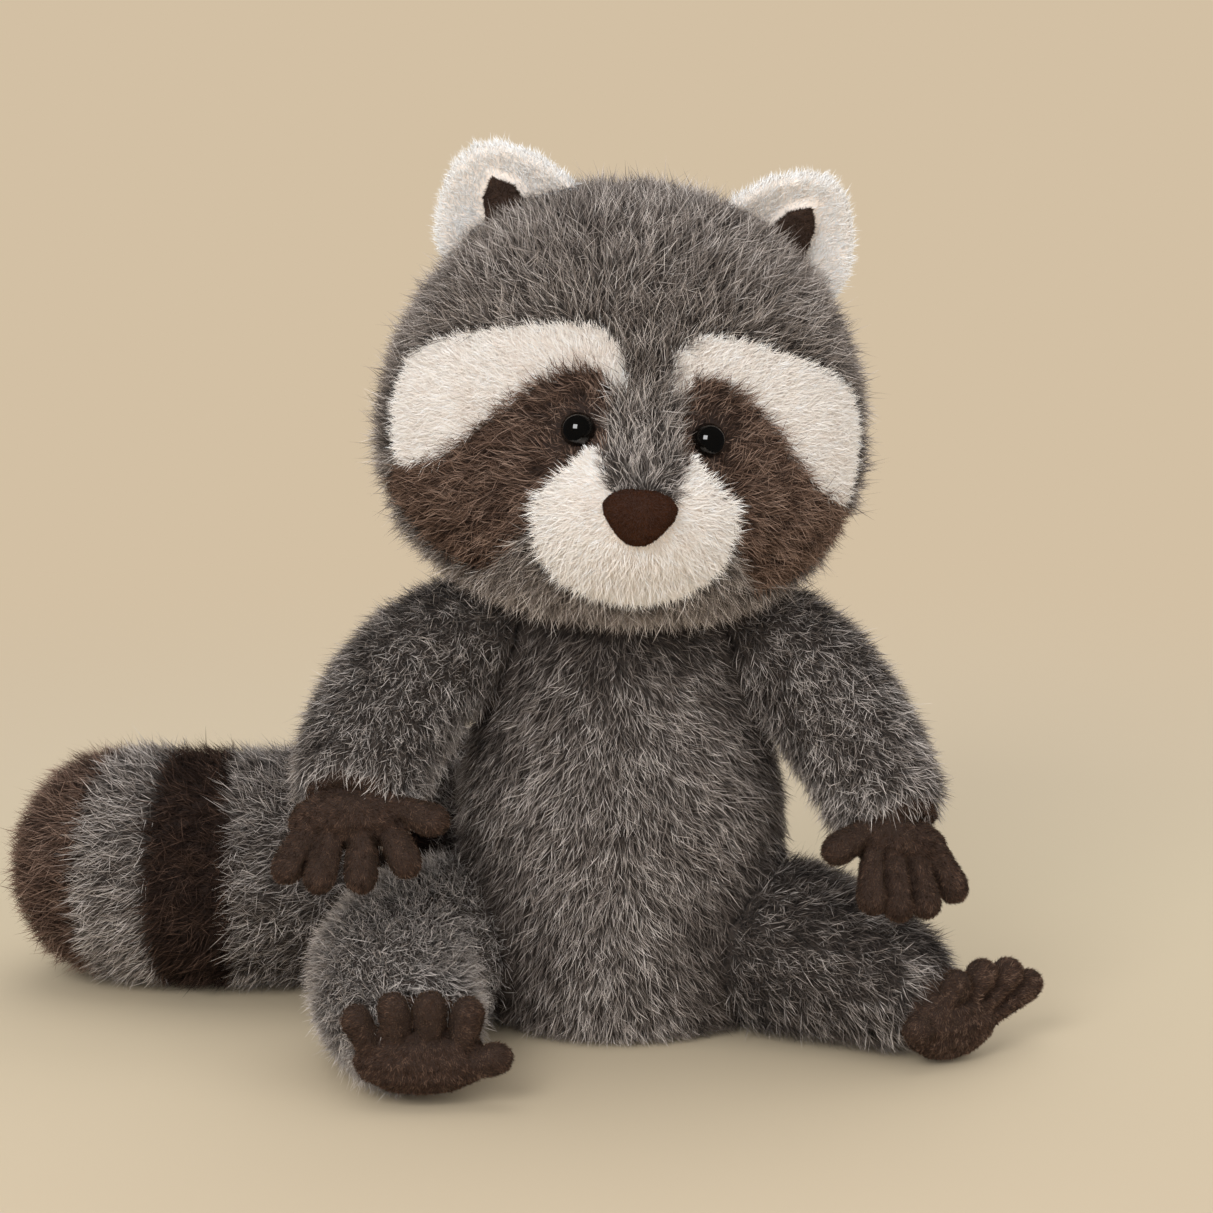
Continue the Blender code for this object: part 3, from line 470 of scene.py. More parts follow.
    along, across = web.attribute("along"), web.attribute("across")
    at = web.attribute("root", "FLOAT_VECTOR") + web.attribute("stem", "FLOAT_VECTOR") * along
    at = at + web.attribute("lean", "FLOAT_VECTOR") * (along * along)
    at = at + web.attribute("side", "FLOAT_VECTOR") * (across * (1 - along * 0.7))
    parts = web.node("ShaderNodeSeparateXYZ", {}, {0: at}, "X").socket.node.outputs
    high = web.node("ShaderNodeMath", {"operation": "MAXIMUM"}, {0: Wire(web, parts["Z"]), 1: 0.0004})
    at = web.node("ShaderNodeCombineXYZ", {}, {"X": Wire(web, parts["X"]), "Y": Wire(web, parts["Y"]), "Z": high})
    strands = web.node("GeometryNodeSetPosition", {}, {"Geometry": strands, "Position": at})
    # the strands take light as the soft surface under them does
    own = web.node("GeometryNodeInputNormal")
    shine = web.attribute("shine", "FLOAT_VECTOR")
    soft = web.unit(shine * size["Softness"] + own * (1 - size["Softness"]))
    strands = web.node("GeometryNodeSetMeshNormal", {"mode": "FREE", "domain": "POINT"},
                       {"Mesh": strands, "Custom Normal": soft})
    # under strands count as lying deeper, so they take more of the painted shade towards the root
    along = along * (web.attribute("guard") * 0.26 + 0.74)
    strands = web.store(strands, "along", along)
    along = web.attribute("along")
    u = web.attribute("tone") * 0.97 + 0.015 + across * 0.005
    flatMap = web.node("ShaderNodeCombineXYZ", {}, {"X": u, "Y": along * 0.97 + 0.015, "Z": 0.0})
    strands = web.store(strands, "OFBake", flatMap, "FLOAT2", "CORNER")
    strands = web.node("GeometryNodeSetMaterial", {}, {"Geometry": strands, "Material": size["Finish"]})
    out = tree.nodes.new("NodeGroupOutput")
    tree.links.new(strands.socket, out.inputs[0])
    return tree


pileTree = makePileTree()


def growPile(name, skin, finish, seed, sizes):
    # the strands on a skin as one plain mesh
    obj = place(name, skin)
    modifier = obj.modifiers.new("pile", "NODES")
    modifier.node_group = pileTree
    wanted = {**pileSizes, **sizes, "Seed": seed, "Guard Blade": guardBlade, "Under Blade": underBlade,
              "Finish": finish}
    for socket in pileTree.interface.items_tree:
        if socket.in_out == "INPUT" and socket.name in wanted:
            modifier[socket.identifier] = wanted[socket.name]
    settle(obj)
    for layer in fields + ("root", "stem", "lean", "side", "guard", "reach", "rise", "density", "across"):
        if layer in obj.data.attributes:
            obj.data.attributes.remove(obj.data.attributes[layer])
    report(f"{name}: {len(obj.data.polygons)} faces of strands")
    return obj


# Finishes

def newMaterial(name):
    material = bpy.data.materials.new(name)
    material.use_nodes = True
    web = Web(material.node_tree)
    return material, web, material.node_tree.nodes["Principled BSDF"]


def feed(web, shader, socket, value):
    web.tree.links.new(value.socket, shader.inputs[socket])


def pileFinish(name, look):
    # a strand's colour comes from its own tone and darkens towards its root; the darkening is partly the pile's own
    # darker roots and partly painted shade deep in the pile
    material, web, shader = newMaterial(name)
    tone = web.node("ShaderNodeAttribute", {"attribute_name": "tone"}, {}, "Fac")
    along = web.node("ShaderNodeAttribute", {"attribute_name": "along"}, {}, "Fac")
    tips = web.node("ShaderNodeValToRGB", {"stops": look["tips"]}, {0: tone}, "Color")
    depth = web.node("ShaderNodeValToRGB", {"stops": look["depth"]}, {0: along}, "Color")
    colour = web.node("ShaderNodeMix", {"data_type": "RGBA", "blend_type": "MULTIPLY"},
                      {"Factor": 1.0, "A": tips, "B": depth}, "Result")
    feed(web, shader, "Base Color", colour)
    shader.inputs["Roughness"].default_value = look["roughness"]
    shader.inputs["Specular IOR Level"].default_value = look.get("specular", 0.25)
    shader.inputs["Sheen Weight"].default_value = look["sheen"]
    shader.inputs["Sheen Roughness"].default_value = 0.5
    shader.inputs["Sheen Tint"].default_value = (*look.get("glow", (1, 1, 1)), 1)
    return material


def grey(value):
    return (value, value, value)


# each look's depth ramp darkens a strand towards its root: partly darker roots, partly painted shade deep in the
# pile
pileLooks = {
    "grey_pile": {
        "tips": [(0.0, linear(76, 67, 61)), (0.3, linear(112, 101, 94)), (0.62, linear(154, 143, 135)),
                 (0.85, linear(192, 181, 173)), (1.0, linear(226, 216, 208))],
        "depth": [(0.0, grey(0.10)), (0.35, grey(0.32)), (0.62, grey(0.72)), (0.85, grey(1.0)), (1.0, grey(1.0))],
        "roughness": 0.8, "sheen": 0.05},
    "brown_pile": {
        "tips": [(0.0, linear(50, 36, 29)), (0.4, linear(92, 71, 59)), (0.75, linear(124, 99, 85)),
                 (1.0, linear(164, 138, 122))],
        "depth": [(0.0, grey(0.18)), (0.4, grey(0.48)), (0.75, grey(0.92)), (1.0, grey(1.0))],
        "roughness": 0.8, "sheen": 0.0, "specular": 0.15},
    "cream_pile": {
        "tips": [(0.0, linear(228, 217, 208)), (0.4, linear(241, 234, 227)), (0.75, linear(245, 241, 236)),
                 (1.0, linear(245, 245, 245))],
        "depth": [(0.0, grey(0.90)), (0.4, grey(0.97)), (1.0, grey(1.0))], "roughness": 0.9, "sheen": 0.0},
    "brown_velvet": {
        "tips": [(0.0, linear(38, 26, 20)), (0.4, linear(80, 59, 48)), (0.8, linear(130, 103, 87)),
                 (1.0, linear(168, 141, 122))],
        "depth": [(0.0, grey(0.45)), (0.5, grey(0.84)), (1.0, grey(1.0))],
        "roughness": 0.85, "sheen": 0.35, "glow": linear(190, 160, 132), "specular": 0.1},
    "nose_velvet": {
        "tips": [(0.0, linear(48, 25, 11)), (0.5, linear(69, 39, 22)), (1.0, linear(92, 58, 37))],
        "depth": [(0.0, grey(0.65)), (0.5, grey(0.9)), (1.0, grey(1.0))],
        "roughness": 0.85, "sheen": 0.0, "specular": 0.1},
}
backings = {
    "grey": (linear(48, 41, 37), linear(70, 61, 55)),
    "brown": (linear(34, 24, 19), linear(50, 36, 29)),
    "cream": (linear(244, 230, 219), linear(252, 242, 232)),
}
finishes = {name: pileFinish(name, look) for name, look in pileLooks.items()}


def clothFinish(name, dark, light, grain, roughness, bump=0.0003, sheen=0.0):
    # woven or napped cloth: two tones in a fine noise, with a shallow bump
    material, web, shader = newMaterial(name)
    where = web.node("ShaderNodeTexCoord", {}, {}, "Object")
    fine = web.node("ShaderNodeTexNoise", {}, {"Vector": where, "Scale": grain, "Detail": 3.0}, "Fac")
    colour = web.node("ShaderNodeMix", {"data_type": "RGBA"}, {"Factor": fine, "A": (*dark, 1), "B": (*light, 1)},
                      "Result")
    feed(web, shader, "Base Color", colour)
    relief = web.node("ShaderNodeBump", {}, {"Strength": 0.5, "Distance": bump, "Height": fine}, "Normal")
    feed(web, shader, "Normal", relief)
    shader.inputs["Roughness"].default_value = roughness
    shader.inputs["Sheen Weight"].default_value = sheen
    shader.inputs["Sheen Roughness"].default_value = 0.4
    return material


velvet = clothFinish("velvet_ground", linear(40, 27, 20), linear(60, 43, 34), 1400, 0.9)
noseVelvet = clothFinish("nose_ground", linear(46, 26, 16), linear(62, 37, 25), 1800, 0.9)
filling = clothFinish("fibre_fill", linear(228, 228, 224), linear(244, 244, 242), 500, 1.0)
washerPlastic = clothFinish("washer_plastic", linear(228, 226, 220), linear(236, 234, 228), 300, 0.45)


def backingFinish(name):
    # the woven ground under the pile, dyed like the pile that grows on it
    material, web, shader = newMaterial(name)
    where = web.node("ShaderNodeTexCoord", {}, {}, "Object")
    fine = web.node("ShaderNodeTexNoise", {}, {"Vector": where, "Scale": 900.0, "Detail": 3.0}, "Fac")
    colours = [web.node("ShaderNodeMix", {"data_type": "RGBA"}, {"Factor": fine, "A": (*dark, 1), "B": (*light, 1)},
                        "Result") for dark, light in backings.values()]
    colour = colours[0]
    for mask, other in (("brown", colours[1]), ("cream", colours[2])):
        share = web.node("ShaderNodeAttribute", {"attribute_name": mask}, {}, "Fac")
        colour = web.node("ShaderNodeMix", {"data_type": "RGBA"}, {"Factor": share, "A": colour, "B": other},
                          "Result")
    feed(web, shader, "Base Color", colour)
    relief = web.node("ShaderNodeBump", {}, {"Strength": 0.5, "Distance": 0.0003, "Height": fine}, "Normal")
    feed(web, shader, "Normal", relief)
    shader.inputs["Roughness"].default_value = 0.95
    return material


backing = backingFinish("pile_backing")


def dress(obj, material, slotName, covers=()):
    # give a finished piece its finish and its place in the part
    if not obj.data.materials:
        obj.data.materials.append(material)
    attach(obj, "root")
    if covers:
        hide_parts(*covers)
    return obj


# Groups of covers that share one soft skin

sides = ("right", "left")
eyeCentres = {"right": np.array([-0.0125, -0.0674, 0.1916]), "left": np.array([0.0243, -0.0639, 0.1879])}
eyeRadius = 0.0050
eyeRing = {"gap": 0.0004, "ramp": 0.0008}  # where the pile begins round an eye
tailBands = sorted(name for name in nodes if name.startswith("tail_band"))
facePanels = ["muzzle_panel"] + [f"{kind}_panel_{side}" for kind in ("mask", "brow") for side in sides]
groups = {
    "head": {"covers": ["head_cover"] + facePanels, "inside": ["head_filling"], "lie": headLie},
    "body": {"covers": ["body_cover"], "inside": ["body_filling"], "lie": bodyLie},
    "tail": {"covers": tailBands, "inside": ["tail_filling"], "lie": tailLie},
}
for side in sides:
    for limb, end in (("arm", "hand"), ("leg", "foot")):
        groups[f"{limb}_{side}"] = {
            "covers": [f"{limb}_cover_{side}"], "inside": [f"{limb}_filling_{side}"], "end": f"{end}_{side}",
            "inset": 0.0021,
            "lie": lambda values, limb=f"{limb}_{side}": limbLie(limb, values)}
    groups[f"ear_{side}"] = {
        "covers": [f"ear_{side}"], "inside": [], "inset": 0.0014, "voxel": 0.0014,
        "lie": lambda values, ear=f"ear_{side}": earLie(ear, values)}

# how each cover's pile is cut and combed; lengths in metres, density in strands for each square millimetre
piles = {
    "grey_pile": {"reach": 0.0062, "rise": 0.70, "density": 2.95, "sizes": {}},
    "brown_pile": {"reach": 0.0060, "rise": 0.64, "density": 2.6, "sizes": {"Bright Share": 0.2, "Softness": 0.7}},
    "cream_pile": {"reach": 0.0044, "rise": 0.76, "density": 6.0,
                   "sizes": {"Strand Width": 0.00017, "Clump Size": 0.003, "Clump Pull": 0.12, "Cowlick": 0.3,
                             "Swirl": 0.4, "Clump Tone": 0.35, "Curl": 0.2, "Stray": 0.02, "Softness": 0.85}},
}
tousled = {"Cowlick": 0.8, "Swirl": 1.0, "Clump Size": 0.0046, "Clump Pull": 0.5, "Stray": 0.10,
           "Under Length": 0.82, "Bright Share": 0.40}
calm = {"Cowlick": 0.35, "Swirl": 0.55, "Spread": 0.4, "Curl": 0.18, "Clump Pull": 0.3}
tufted = {"Cowlick": 0.45, "Swirl": 0.62, "Spread": 0.42, "Clump Size": 0.0042, "Clump Pull": 0.5,
          "Bright Share": 0.28, "Under Length": 0.84, "Clump Tone": 0.6}
special = {
    "head_cover": {"density": 3.2, "rise": 0.80, "reach": 0.0080, "tint": 0.02, "sizes": tousled},
    "muzzle_panel": {"reach": 0.0056, "rise": 0.74, "tint": 0.05},
    # the ears' high tints are painted light that offsets the shade in their cups
    "ear_right": {"reach": 0.0034, "rise": 0.56, "density": 4.6, "tint": 0.55},
    "ear_left": {"reach": 0.0034, "rise": 0.56, "density": 4.6, "tint": 0.45},
    "body_cover": {"tint": 0.12, "reach": 0.0062, "rise": 0.70, "sizes": calm},
}
for side in sides:
    special[f"arm_cover_{side}"] = {"rise": 0.82, "reach": 0.0064, "tint": 0.20, "sizes": tufted}
    # the right leg's high tint and bright share are painted light against the hand's shadow; the left leg's low tint
    # is painted shade from the body and the arm
    special[f"leg_cover_{side}"] = {"rise": 0.82, "reach": 0.0062, "tint": 0.65 if side == "right" else -0.08,
                                    "sizes": {**tufted, "Bright Share": 0.65 if side == "right" else 0.28}}
    special[f"mask_panel_{side}"] = {"tint": 0.16 if side == "right" else 0.24}
for name in tailBands:
    special[name] = {"density": 2.4, "reach": 0.0070, "rise": 0.76,
                     "tint": 0.20 if name.endswith("grey") else (0.14 if "_1_" in name else -0.40)}
naps = {
    "brown_velvet": {
        "reach": 0.0015, "rise": 0.72, "density": 4.8,
        "sizes": {"Strand Width": 0.00010, "Under Width": 1.3, "Guard Share": 0.0, "Cowlick": 0.8, "Softness": 0.7,
                  "Cowlick Size": 0.006, "Swirl": 0.5, "Swirl Size": 0.0018, "Clump Pull": 0.0, "Droop": 0.2,
                  "Clump Tone": 0.5, "Clump Size": 0.0014}},
    "nose_velvet": {
        "reach": 0.0008, "rise": 0.65, "density": 12.0,
        "sizes": {"Strand Width": 0.00009, "Under Width": 1.3, "Guard Share": 0.0, "Cowlick": 0.5, "Softness": 0.8,
                  "Cowlick Size": 0.006, "Swirl": 0.4, "Swirl Size": 0.0015, "Clump Pull": 0.0,
                  "Clump Tone": 0.4, "Clump Size": 0.0012}},
}
# how the paws' creases are carved; "dark" is the painted shade put into them
creases = {"rounds": 24, "depth": 1.5, "deepest": 0.0022, "highest": 0.0004, "full": 0.0006, "dark": 0.45}
slots = {entry["node"]: entry["material_slot"] for entry in frame["record"]["subparts"]}


def capEnd(mesh, covers, end):
    # take the hand or foot off a limb's skin and close it inside the sleeve
    sleeve, paw = treeOf(covers), treeOf([end])
    bm = bmesh.new()
    bm.from_mesh(mesh)
    away = [v for v in bm.verts
            if sleeve.find_nearest(v.co)[3] > 0.0025 and paw.find_nearest(v.co)[3] < sleeve.find_nearest(v.co)[3]]
    bmesh.ops.delete(bm, geom=away, context="VERTS")
    bmesh.ops.holes_fill(bm, edges=[e for e in bm.edges if e.is_boundary], sides=0)
    bmesh.ops.triangulate(bm, faces=[f for f in bm.faces if len(f.verts) > 4])
    bm.to_mesh(mesh)
    bm.free()


def makeSkin(name, group):
    members = group["covers"] + group["inside"] + ([group["end"]] if "end" in group else [])
    if name == "head":
        members = members + [f"eye_{side}" for side in sides]
    skin = softForm(f"{name}_skin", members, group.get("voxel", skins["voxel"]), skins["smoothing"])
    if "end" in group:
        capEnd(skin.data, group["covers"], group["end"])
    mesh = skin.data
    where, facing = points(mesh), normals(mesh)
    kin = set(members)
    others = [n for n in nodes if n not in kin and not n.startswith(("eye", "ear"))]
    if name.startswith("ear"):
        others = [f"ear_lining_{name[4:]}"]
    gaps = distances(treeOf(others), where)
    open_ = np.clip((gaps - skins["contact"]) / skins["ramp"], 0, 1)
    if "end" in group:
        # none on the sleeve's closed end where the paw covers it
        paw = treeOf([group["end"]])
        for index, p in enumerate(where):
            spot, outward = paw.find_nearest(p)[:2]
            if (Vector(p) - spot).dot(outward) < skins["cuff"]:
                open_[index] = 0
    if name == "head":
        for centre in eyeCentres.values():
            away = np.linalg.norm(where - centre, axis=1) - eyeRadius
            open_ *= np.clip((away - eyeRing["gap"]) / eyeRing["ramp"], 0, 1)
    inset = group.get("inset", skins["inset"])
    bare = open_ if name != "head" else np.ones(len(where))
    where = where - facing * inset * (skins["bare"] + (1 - skins["bare"]) * bare)[:, None]
    where[:, 2] = np.maximum(where[:, 2], skins["lowest"])
    setPoints(mesh, where)
    facing = normals(mesh)
    bottom = np.clip((0.006 - where[:, 2]) / 0.004, 0, 1) * np.clip(-facing[:, 2], 0, 1)
    addField(mesh, "open", open_ * (1 - 0.7 * bottom))
    addField(mesh, "facing", facing)
    shine = facing
    if name.startswith("ear"):
        # light passes through the thin ears, so their cups stay pale
        shine = unitRows(facing * 0.4 + np.array([-0.3, -0.7, 0.55]))
    addField(mesh, "shine", shine)
    addField(mesh, "lie", group["lie"](where))
    addField(mesh, "short", shortening(name, where))
    addField(mesh, "tint", shading(name, where))
    trees = [treeOf([cover]) for cover in group["covers"]]
    nearest = ownerOf(trees, group["covers"], where + facing * inset)
    dye = np.array([slots[cover] for cover in group["covers"]])[nearest]
    for mask in ("brown", "cream"):
        addField(mesh, mask, (dye == mask + "_pile").astype(float))
    return skin


def shortening(name, where):
    # the pile is trimmed round the eyes and the nose, and over the dark ear linings
    short = np.ones(len(where))
    if name == "head":
        for side in sides:
            eye = np.linalg.norm(where - eyeCentres[side], axis=1)
            short *= np.clip((eye - 0.0045) / 0.0075, 0.30, 1)
        gap = distances(treeOf(["nose"]), where)
        short *= np.clip(gap / 0.0060, 0.45, 1) * np.clip(gap / 0.024, 0.62, 1)
    if name.startswith("ear"):
        short *= np.clip(distances(treeOf([f"ear_lining_{name[4:]}"]), where) / 0.0030, 0.5, 1)
    return short


def shading(name, where):
    # paler hairs towards the hands and feet and on the bridge of the nose; painted light on the chin's shaded
    # underside; painted shade where a limb meets the body, and on the body next to the limbs and the head
    if name in limbPoints:
        path = bent(*limbPoints[name])
        share = np.argmin(np.linalg.norm(where[:, None] - path[None], axis=2), axis=1) / (len(path) - 1)
        # the negative part is painted shade near the shoulder or the hip
        return 0.13 * np.clip((share - 0.30) / 0.70, 0, 1) - 0.20 * np.clip(1 - share / 0.35, 0, 1)
    if name == "head":
        bridge = np.linalg.norm((where - np.array([0.004, -0.068, 0.181])) / np.array([0.012, 0.02, 0.014]), axis=1)
        chin = np.clip((0.152 - where[:, 2]) / 0.012, 0, 1) * (where[:, 1] < -0.02)
        # the chin's share is painted light on the head's shaded underside
        return 0.34 * np.clip(1.3 - bridge, 0, 1) + 0.08 * chin
    if name == "body":
        limbs = treeOf([f"{limb}_cover_{side}" for limb in ("arm", "leg") for side in sides] + ["head_cover"])
        # painted shade on the body where the limbs and the head meet it
        return -0.50 * np.clip(1 - distances(limbs, where) / 0.024, 0, 1)
    return np.zeros(len(where))


def seamShift(cover, where):
    # keeps the muzzle's lobes narrow where they rise towards the eyes
    if cover != "muzzle_panel":
        return 0.0
    middle = 0.0050
    height = where[:, 2] + 0.1 * (where[:, 0] - middle)
    halfWidth = 0.0160 + 0.85 * np.clip(0.186 - height, 0, 1)
    return np.where(np.abs(where[:, 0] - middle) > halfWidth, 0.02, 0.0)


def ownerOf(trees, covers, where):
    # the number of the cover that lies nearest to each point
    gaps = np.array([[tree.find_nearest(p)[3] for tree in trees] for p in where])
    for index, name in enumerate(covers):
        gaps[:, index] += seamShift(name, where)
    return gaps.argmin(axis=1)


def splitSkin(skin, covers):
    # the finer faces of a skin that belong to each cover, by nearness
    if len(covers) == 1:
        return {covers[0]: skin.data.copy()}
    fine = place("fine_skin", skin.data.copy())
    split = fine.modifiers.new("split", "SUBSURF")
    split.subdivision_type = "SIMPLE"
    split.levels = split.render_levels = 1
    mesh = settle(fine).data
    trees = [treeOf([name]) for name in covers]
    centres = np.array([p.center for p in mesh.polygons])
    outwards = np.array([p.normal for p in mesh.polygons])
    centres = centres + outwards * skins["inset"]
    owner = ownerOf(trees, covers, centres)
    out = {}
    for index, name in enumerate(covers):
        bm = bmesh.new()
        bm.from_mesh(mesh)
        bm.faces.ensure_lookup_table()
        bmesh.ops.delete(bm, geom=[f for f in bm.faces if owner[f.index] != index], context="FACES")
        part = bpy.data.meshes.new(name + "_ground")
        bm.to_mesh(part)
        bm.free()
        out[name] = part
    bpy.data.objects.remove(fine)
    return out


def field(mesh, name):
    values = np.empty(len(mesh.vertices), dtype=np.float32)
    mesh.attributes[name].data.foreach_get("value", values)
    return values.astype(float)


def sow(ground, cut):
    # turn a ground's fields into the density, length and tint of its strands
    count = len(ground.vertices)
    tint = field(ground, "tint") + cut.get("tint", 0)
    ground.attributes.remove(ground.attributes["tint"])
    addField(ground, "tint", tint)
    addField(ground, "density", field(ground, "open") * cut["density"] * 1e6)
    addField(ground, "reach", field(ground, "short") * cut["reach"])
    addField(ground, "rise", np.full(count, cut["rise"]))


def strip(mesh):
    for layer in fields:
        mesh.attributes.remove(mesh.attributes[layer])


seed = 1
for groupName, group in groups.items():
    skin = makeSkin(groupName, group)
    report(f"{groupName} skin: {len(skin.data.polygons)} faces")
    for cover, ground in splitSkin(skin, group["covers"]).items():
        slotName = slots[cover]
        cut = {**piles[slotName], **special.get(cover, {})}
        sow(ground, cut)
        pile = growPile(f"{cover}_pile", ground, finishes[slotName], seed, cut["sizes"])
        dress(pile, finishes[slotName], slotName, [cover])
        seed += 1
    strip(skin.data)
    dress(skin, backing, slots[group["covers"][0]])


# Velvet hands, feet, ear linings and nose

def smoothed(mesh, where, rounds):
    # each point moves towards the mean of its neighbours
    edges = np.empty(len(mesh.edges) * 2, dtype=int)
    mesh.edges.foreach_get("vertices", edges)
    a, b = edges.reshape(-1, 2).T
    count = np.bincount(np.r_[a, b], minlength=len(where))[:, None]
    for _ in range(rounds):
        total = np.zeros_like(where)
        np.add.at(total, a, where[b])
        np.add.at(total, b, where[a])
        where = where * 0.5 + total / count * 0.5
    return where


def napPiece(node, voxel, smoothing, swell, ground, sleeve=None, tint=0.06):
    # a smooth padded form with a short velvet nap on it; a paw's creases are deepened outside its sleeve, and
    # painted shade darkens the nap in them
    global seed
    slotName = slots[node]
    form = softForm(f"{node}_form", [node], voxel, smoothing)
    mesh = form.data
    where, facing = points(mesh), normals(mesh)
    creaseShade = np.zeros(len(where))
    if sleeve:
        bulge = ((where - smoothed(mesh, where, creases["rounds"])) * facing).sum(axis=1)
        bulge *= np.clip(distances(treeOf([sleeve]), where) / 0.008 - 0.5, 0, 1)
        move = np.clip(bulge * creases["depth"], -creases["deepest"], creases["highest"])
        where = where + facing * move[:, None]
        creaseShade = np.clip(-bulge / creases["full"], 0, 1)
    where = where + facing * swell
    where[:, 2] = np.maximum(where[:, 2], 0.0006)
    setPoints(mesh, where)
    facing = normals(mesh)
    middle = where.mean(axis=0)
    nap = naps[slotName]
    turf = mesh.copy()
    addField(turf, "open", np.ones(len(where)))
    addField(turf, "facing", facing)
    addField(turf, "shine", facing)
    addField(turf, "lie", unitRows(where - middle) + np.array([0, 0, -0.4]))
    addField(turf, "short", np.ones(len(where)))
    # painted shade in the creases
    addField(turf, "tint", tint - creases["dark"] * creaseShade)
    sow(turf, nap)
    pile = growPile(f"{node}_nap", turf, finishes[slotName], seed, nap["sizes"])
    seed += 1
    dress(pile, finishes[slotName], slotName, [node])
    dress(form, ground, slotName)


for side in sides:
    for part, limb, tint in (("hand", "arm", 0.06), ("foot", "leg", 0.14 if side == "right" else 0.24)):
        napPiece(f"{part}_{side}", 0.0009, 3, 0.0001, velvet, f"{limb}_cover_{side}", tint)
    napPiece(f"ear_lining_{side}", 0.0006, 4, 0.0001, velvet, tint=-0.10)
napPiece("nose", 0.0006, 5, 0.0001, noseVelvet)


# Eyes

def glossFinish():
    material, web, shader = newMaterial("black_gloss")
    where = web.node("ShaderNodeTexCoord", {}, {}, "Object")
    fine = web.node("ShaderNodeTexNoise", {}, {"Vector": where, "Scale": 260.0, "Detail": 2.0}, "Fac")
    feed(web, shader, "Roughness", fine * 0.02 + 0.02)
    shader.inputs["Base Color"].default_value = (*linear(6, 5, 4), 1)
    shader.inputs["Specular IOR Level"].default_value = 0.75
    return material


gloss = glossFinish()
for side in sides:
    bm = bmesh.new()
    bmesh.ops.create_uvsphere(bm, u_segments=48, v_segments=32, radius=eyeRadius)
    bmesh.ops.translate(bm, vec=Vector(eyeCentres[side]), verts=bm.verts)
    mesh = bpy.data.meshes.new(f"eye_{side}")
    bm.to_mesh(mesh)
    bm.free()
    mesh.shade_smooth()
    dress(place(f"eye_{side}_dome", mesh), gloss, "black_gloss", [f"eye_{side}"])

# the fibre filling, drawn in a little from the covers
fillings = {"voxel": 0.0045, "smoothing": 2, "inset": 0.0016}
for name in [n for n in nodes if "filling" in n]:
    form = softForm(f"{name}_form", [name], fillings["voxel"], fillings["smoothing"])
    where = points(form.data) - normals(form.data) * fillings["inset"]
    setPoints(form.data, where)
    dress(form, filling, "fibre_fill", [name])

# the washers are the only CAD solids left showing
for name, obj in nodes.items():
    if not obj.hide_render:
        obj.data.materials.clear()
        obj.data.materials.append(washerPlastic)
bpy.data.objects.remove(guardBlade)
bpy.data.objects.remove(underBlade)


# Stage, light and camera

stage = {
    "colour": linear(211, 192, 164),  # what the far floor and the room show
    "half": 12.0, "near": -0.2, "far": 1.1, "blend": (0.30, 0.75),
    # the near floor's shades are painted shade that evens out the lamps' uneven light on it
    "shades": [(0.0, linear(201, 184, 158)), (0.15, linear(205, 189, 162)), (0.27, linear(206, 191, 164)),
               (0.41, linear(207, 191, 165))],
    "elevation": 11.5, "target": (-0.0045, 0.0, 0.127), "distance": 1.3, "lens": 128.6,
}


def evenLight(web):
    return web.node("ShaderNodeEmission", {}, {"Color": (*stage["colour"], 1), "Strength": 1.0}, "Emission")


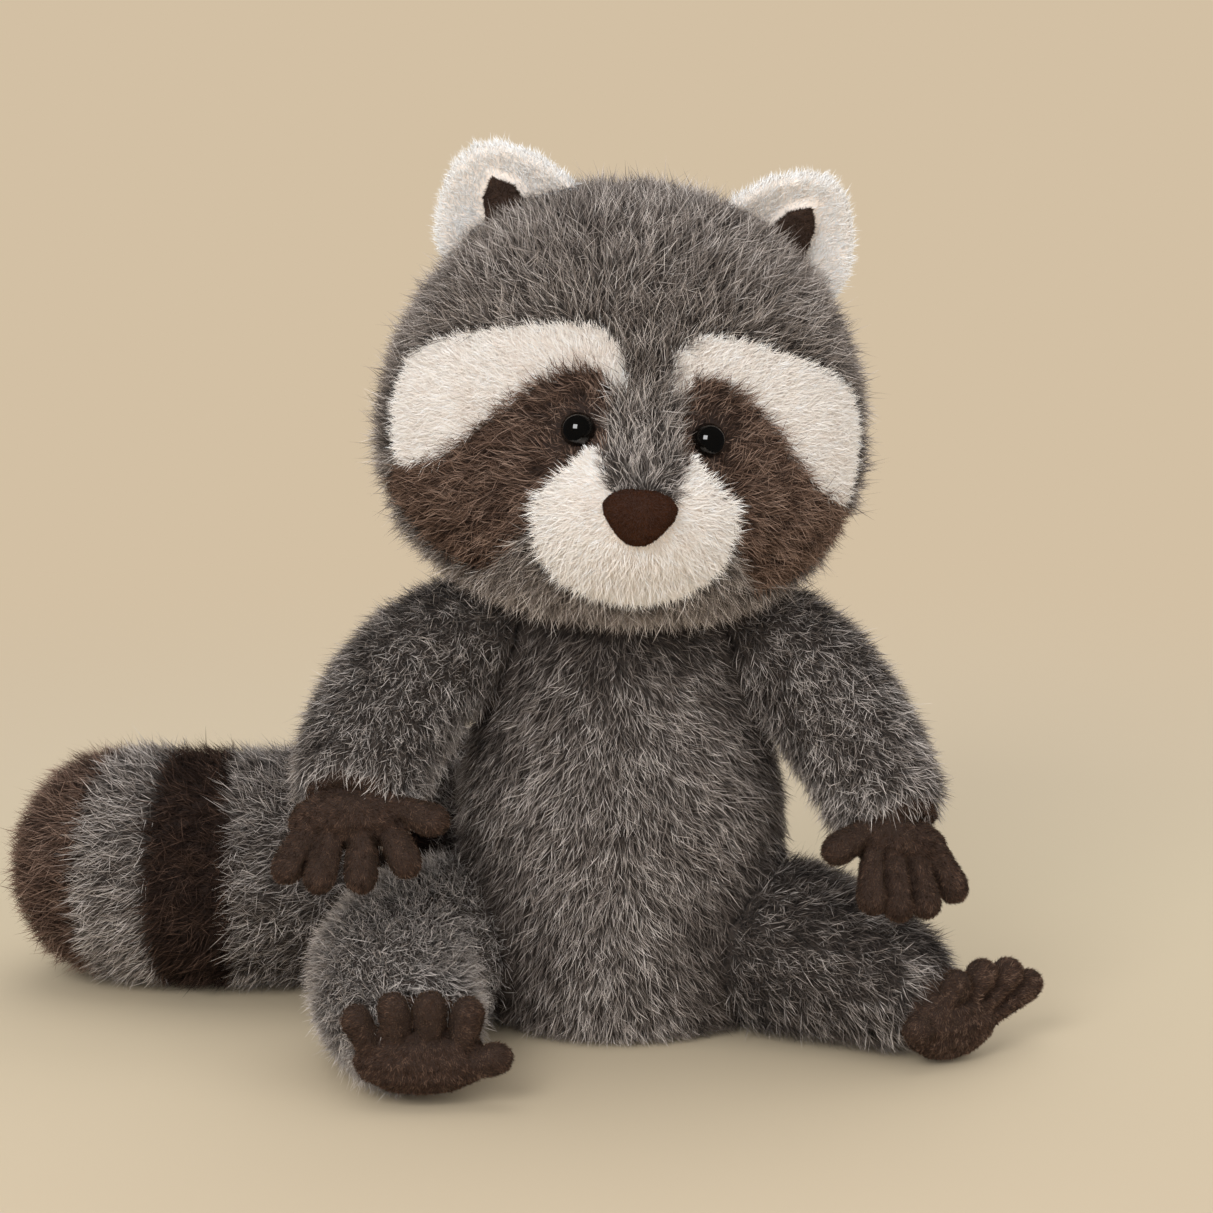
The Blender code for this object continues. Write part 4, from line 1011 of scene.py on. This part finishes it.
def makeStage():
    # a wide plain floor that passes into the room's even colour, so that no side shows an edge or a horizon
    half = stage["half"]
    mesh = bpy.data.meshes.new("floor")
    mesh.from_pydata([(-half, -half, 0), (half, -half, 0), (half, half, 0), (-half, half, 0)], [], [(0, 1, 2, 3)])
    floor = place("floor", mesh)
    material, web, shader = newMaterial("floor")
    where = web.node("ShaderNodeTexCoord", {}, {}, "Object")
    depth = web.node("ShaderNodeSeparateXYZ", {}, {0: where}, "Y")
    depth = web.node("ShaderNodeMapRange", {}, {"Value": depth, "From Min": stage["near"], "From Max": stage["far"]},
                     "Result")
    colour = web.node("ShaderNodeValToRGB", {"stops": stage["shades"]}, {0: depth}, "Color")
    feed(web, shader, "Base Color", colour)
    shader.inputs["Roughness"].default_value = 0.95
    shader.inputs["Specular IOR Level"].default_value = 0.1
    reach = web.node("ShaderNodeVectorMath", {"operation": "LENGTH"}, {0: where}, "Value")
    away = web.node("ShaderNodeMapRange", {"interpolation_type": "SMOOTHSTEP"},
                    {"Value": reach, "From Min": stage["blend"][0], "From Max": stage["blend"][1]}, "Result")
    seen = web.node("ShaderNodeLightPath", {}, {}, "Is Camera Ray")
    mixed = web.node("ShaderNodeMixShader", {}, {0: away * seen, 1: Wire(web, shader.outputs[0]),
                                                 2: evenLight(web)}, "Shader")
    ending = material.node_tree.nodes["Material Output"]
    web.tree.links.new(mixed.socket, ending.inputs["Surface"])
    mesh.materials.append(material)
    floor.visible_glossy = False  # the eyes stay dark below
    floor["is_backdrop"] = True


def makeRoom():
    # soft white light from all round, dim in mirrors; the camera sees an even colour instead
    world = bpy.data.worlds.new("room")
    bpy.context.scene.world = world
    world.use_nodes = True
    web = Web(world.node_tree)
    mirrored = web.node("ShaderNodeLightPath", {}, {}, "Is Glossy Ray")
    seen = web.node("ShaderNodeLightPath", {}, {}, "Is Camera Ray")
    light = web.node("ShaderNodeBackground", {}, {"Color": (1, 1, 1, 1), "Strength": mirrored * -0.56 + 0.60},
                     "Background")
    even = web.node("ShaderNodeBackground", {}, {"Color": (*stage["colour"], 1), "Strength": 1.0}, "Background")
    mixed = web.node("ShaderNodeMixShader", {}, {0: seen, 1: light, 2: even}, "Shader")
    web.tree.links.new(mixed.socket, world.node_tree.nodes["World Output"].inputs["Surface"])


def addLamp(name, at, size, power):
    lamp = bpy.data.lights.new(name, "AREA")
    lamp.size = size
    lamp.energy = power
    obj = place(name, lamp)
    obj.location = at
    obj.rotation_euler = (Vector((0, 0, 0.12)) - Vector(at)).to_track_quat("-Z", "Y").to_euler()
    return obj


def makeCamera():
    camera = bpy.data.cameras.new("camera")
    camera.lens = stage["lens"]
    camera.sensor_width = 36
    camera.clip_start = 0.05
    camera.clip_end = 20
    obj = place("camera", camera)
    tilt = math.radians(stage["elevation"])
    back = Vector((0, -math.cos(tilt), math.sin(tilt)))
    obj.location = Vector(stage["target"]) + back * stage["distance"]
    obj.rotation_euler = (-back).to_track_quat("-Z", "Y").to_euler()
    bpy.context.scene.camera = obj


makeStage()
addLamp("key", (-0.44, -1.14, 0.84), 0.62, 9.5)
for lamp in (addLamp("fill", (1.0, -1.0, 0.60), 1.2, 4), addLamp("front", (0.0, -1.75, 0.22), 1.4, 10.5),
             addLamp("top", (0.0, 0.15, 1.4), 1.2, 4), addLamp("back", (0.5, 1.5, 0.9), 1.4, 7)):
    lamp.visible_glossy = False  # the key alone shines in the eyes
makeCamera()
makeRoom()
bpy.context.scene.view_settings.view_transform = "Standard"

triangles = 0
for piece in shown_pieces():
    piece.data.calc_loop_triangles()
    triangles += len(piece.data.loop_triangles)
report(f"{len(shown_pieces())} pieces, {triangles} triangles")
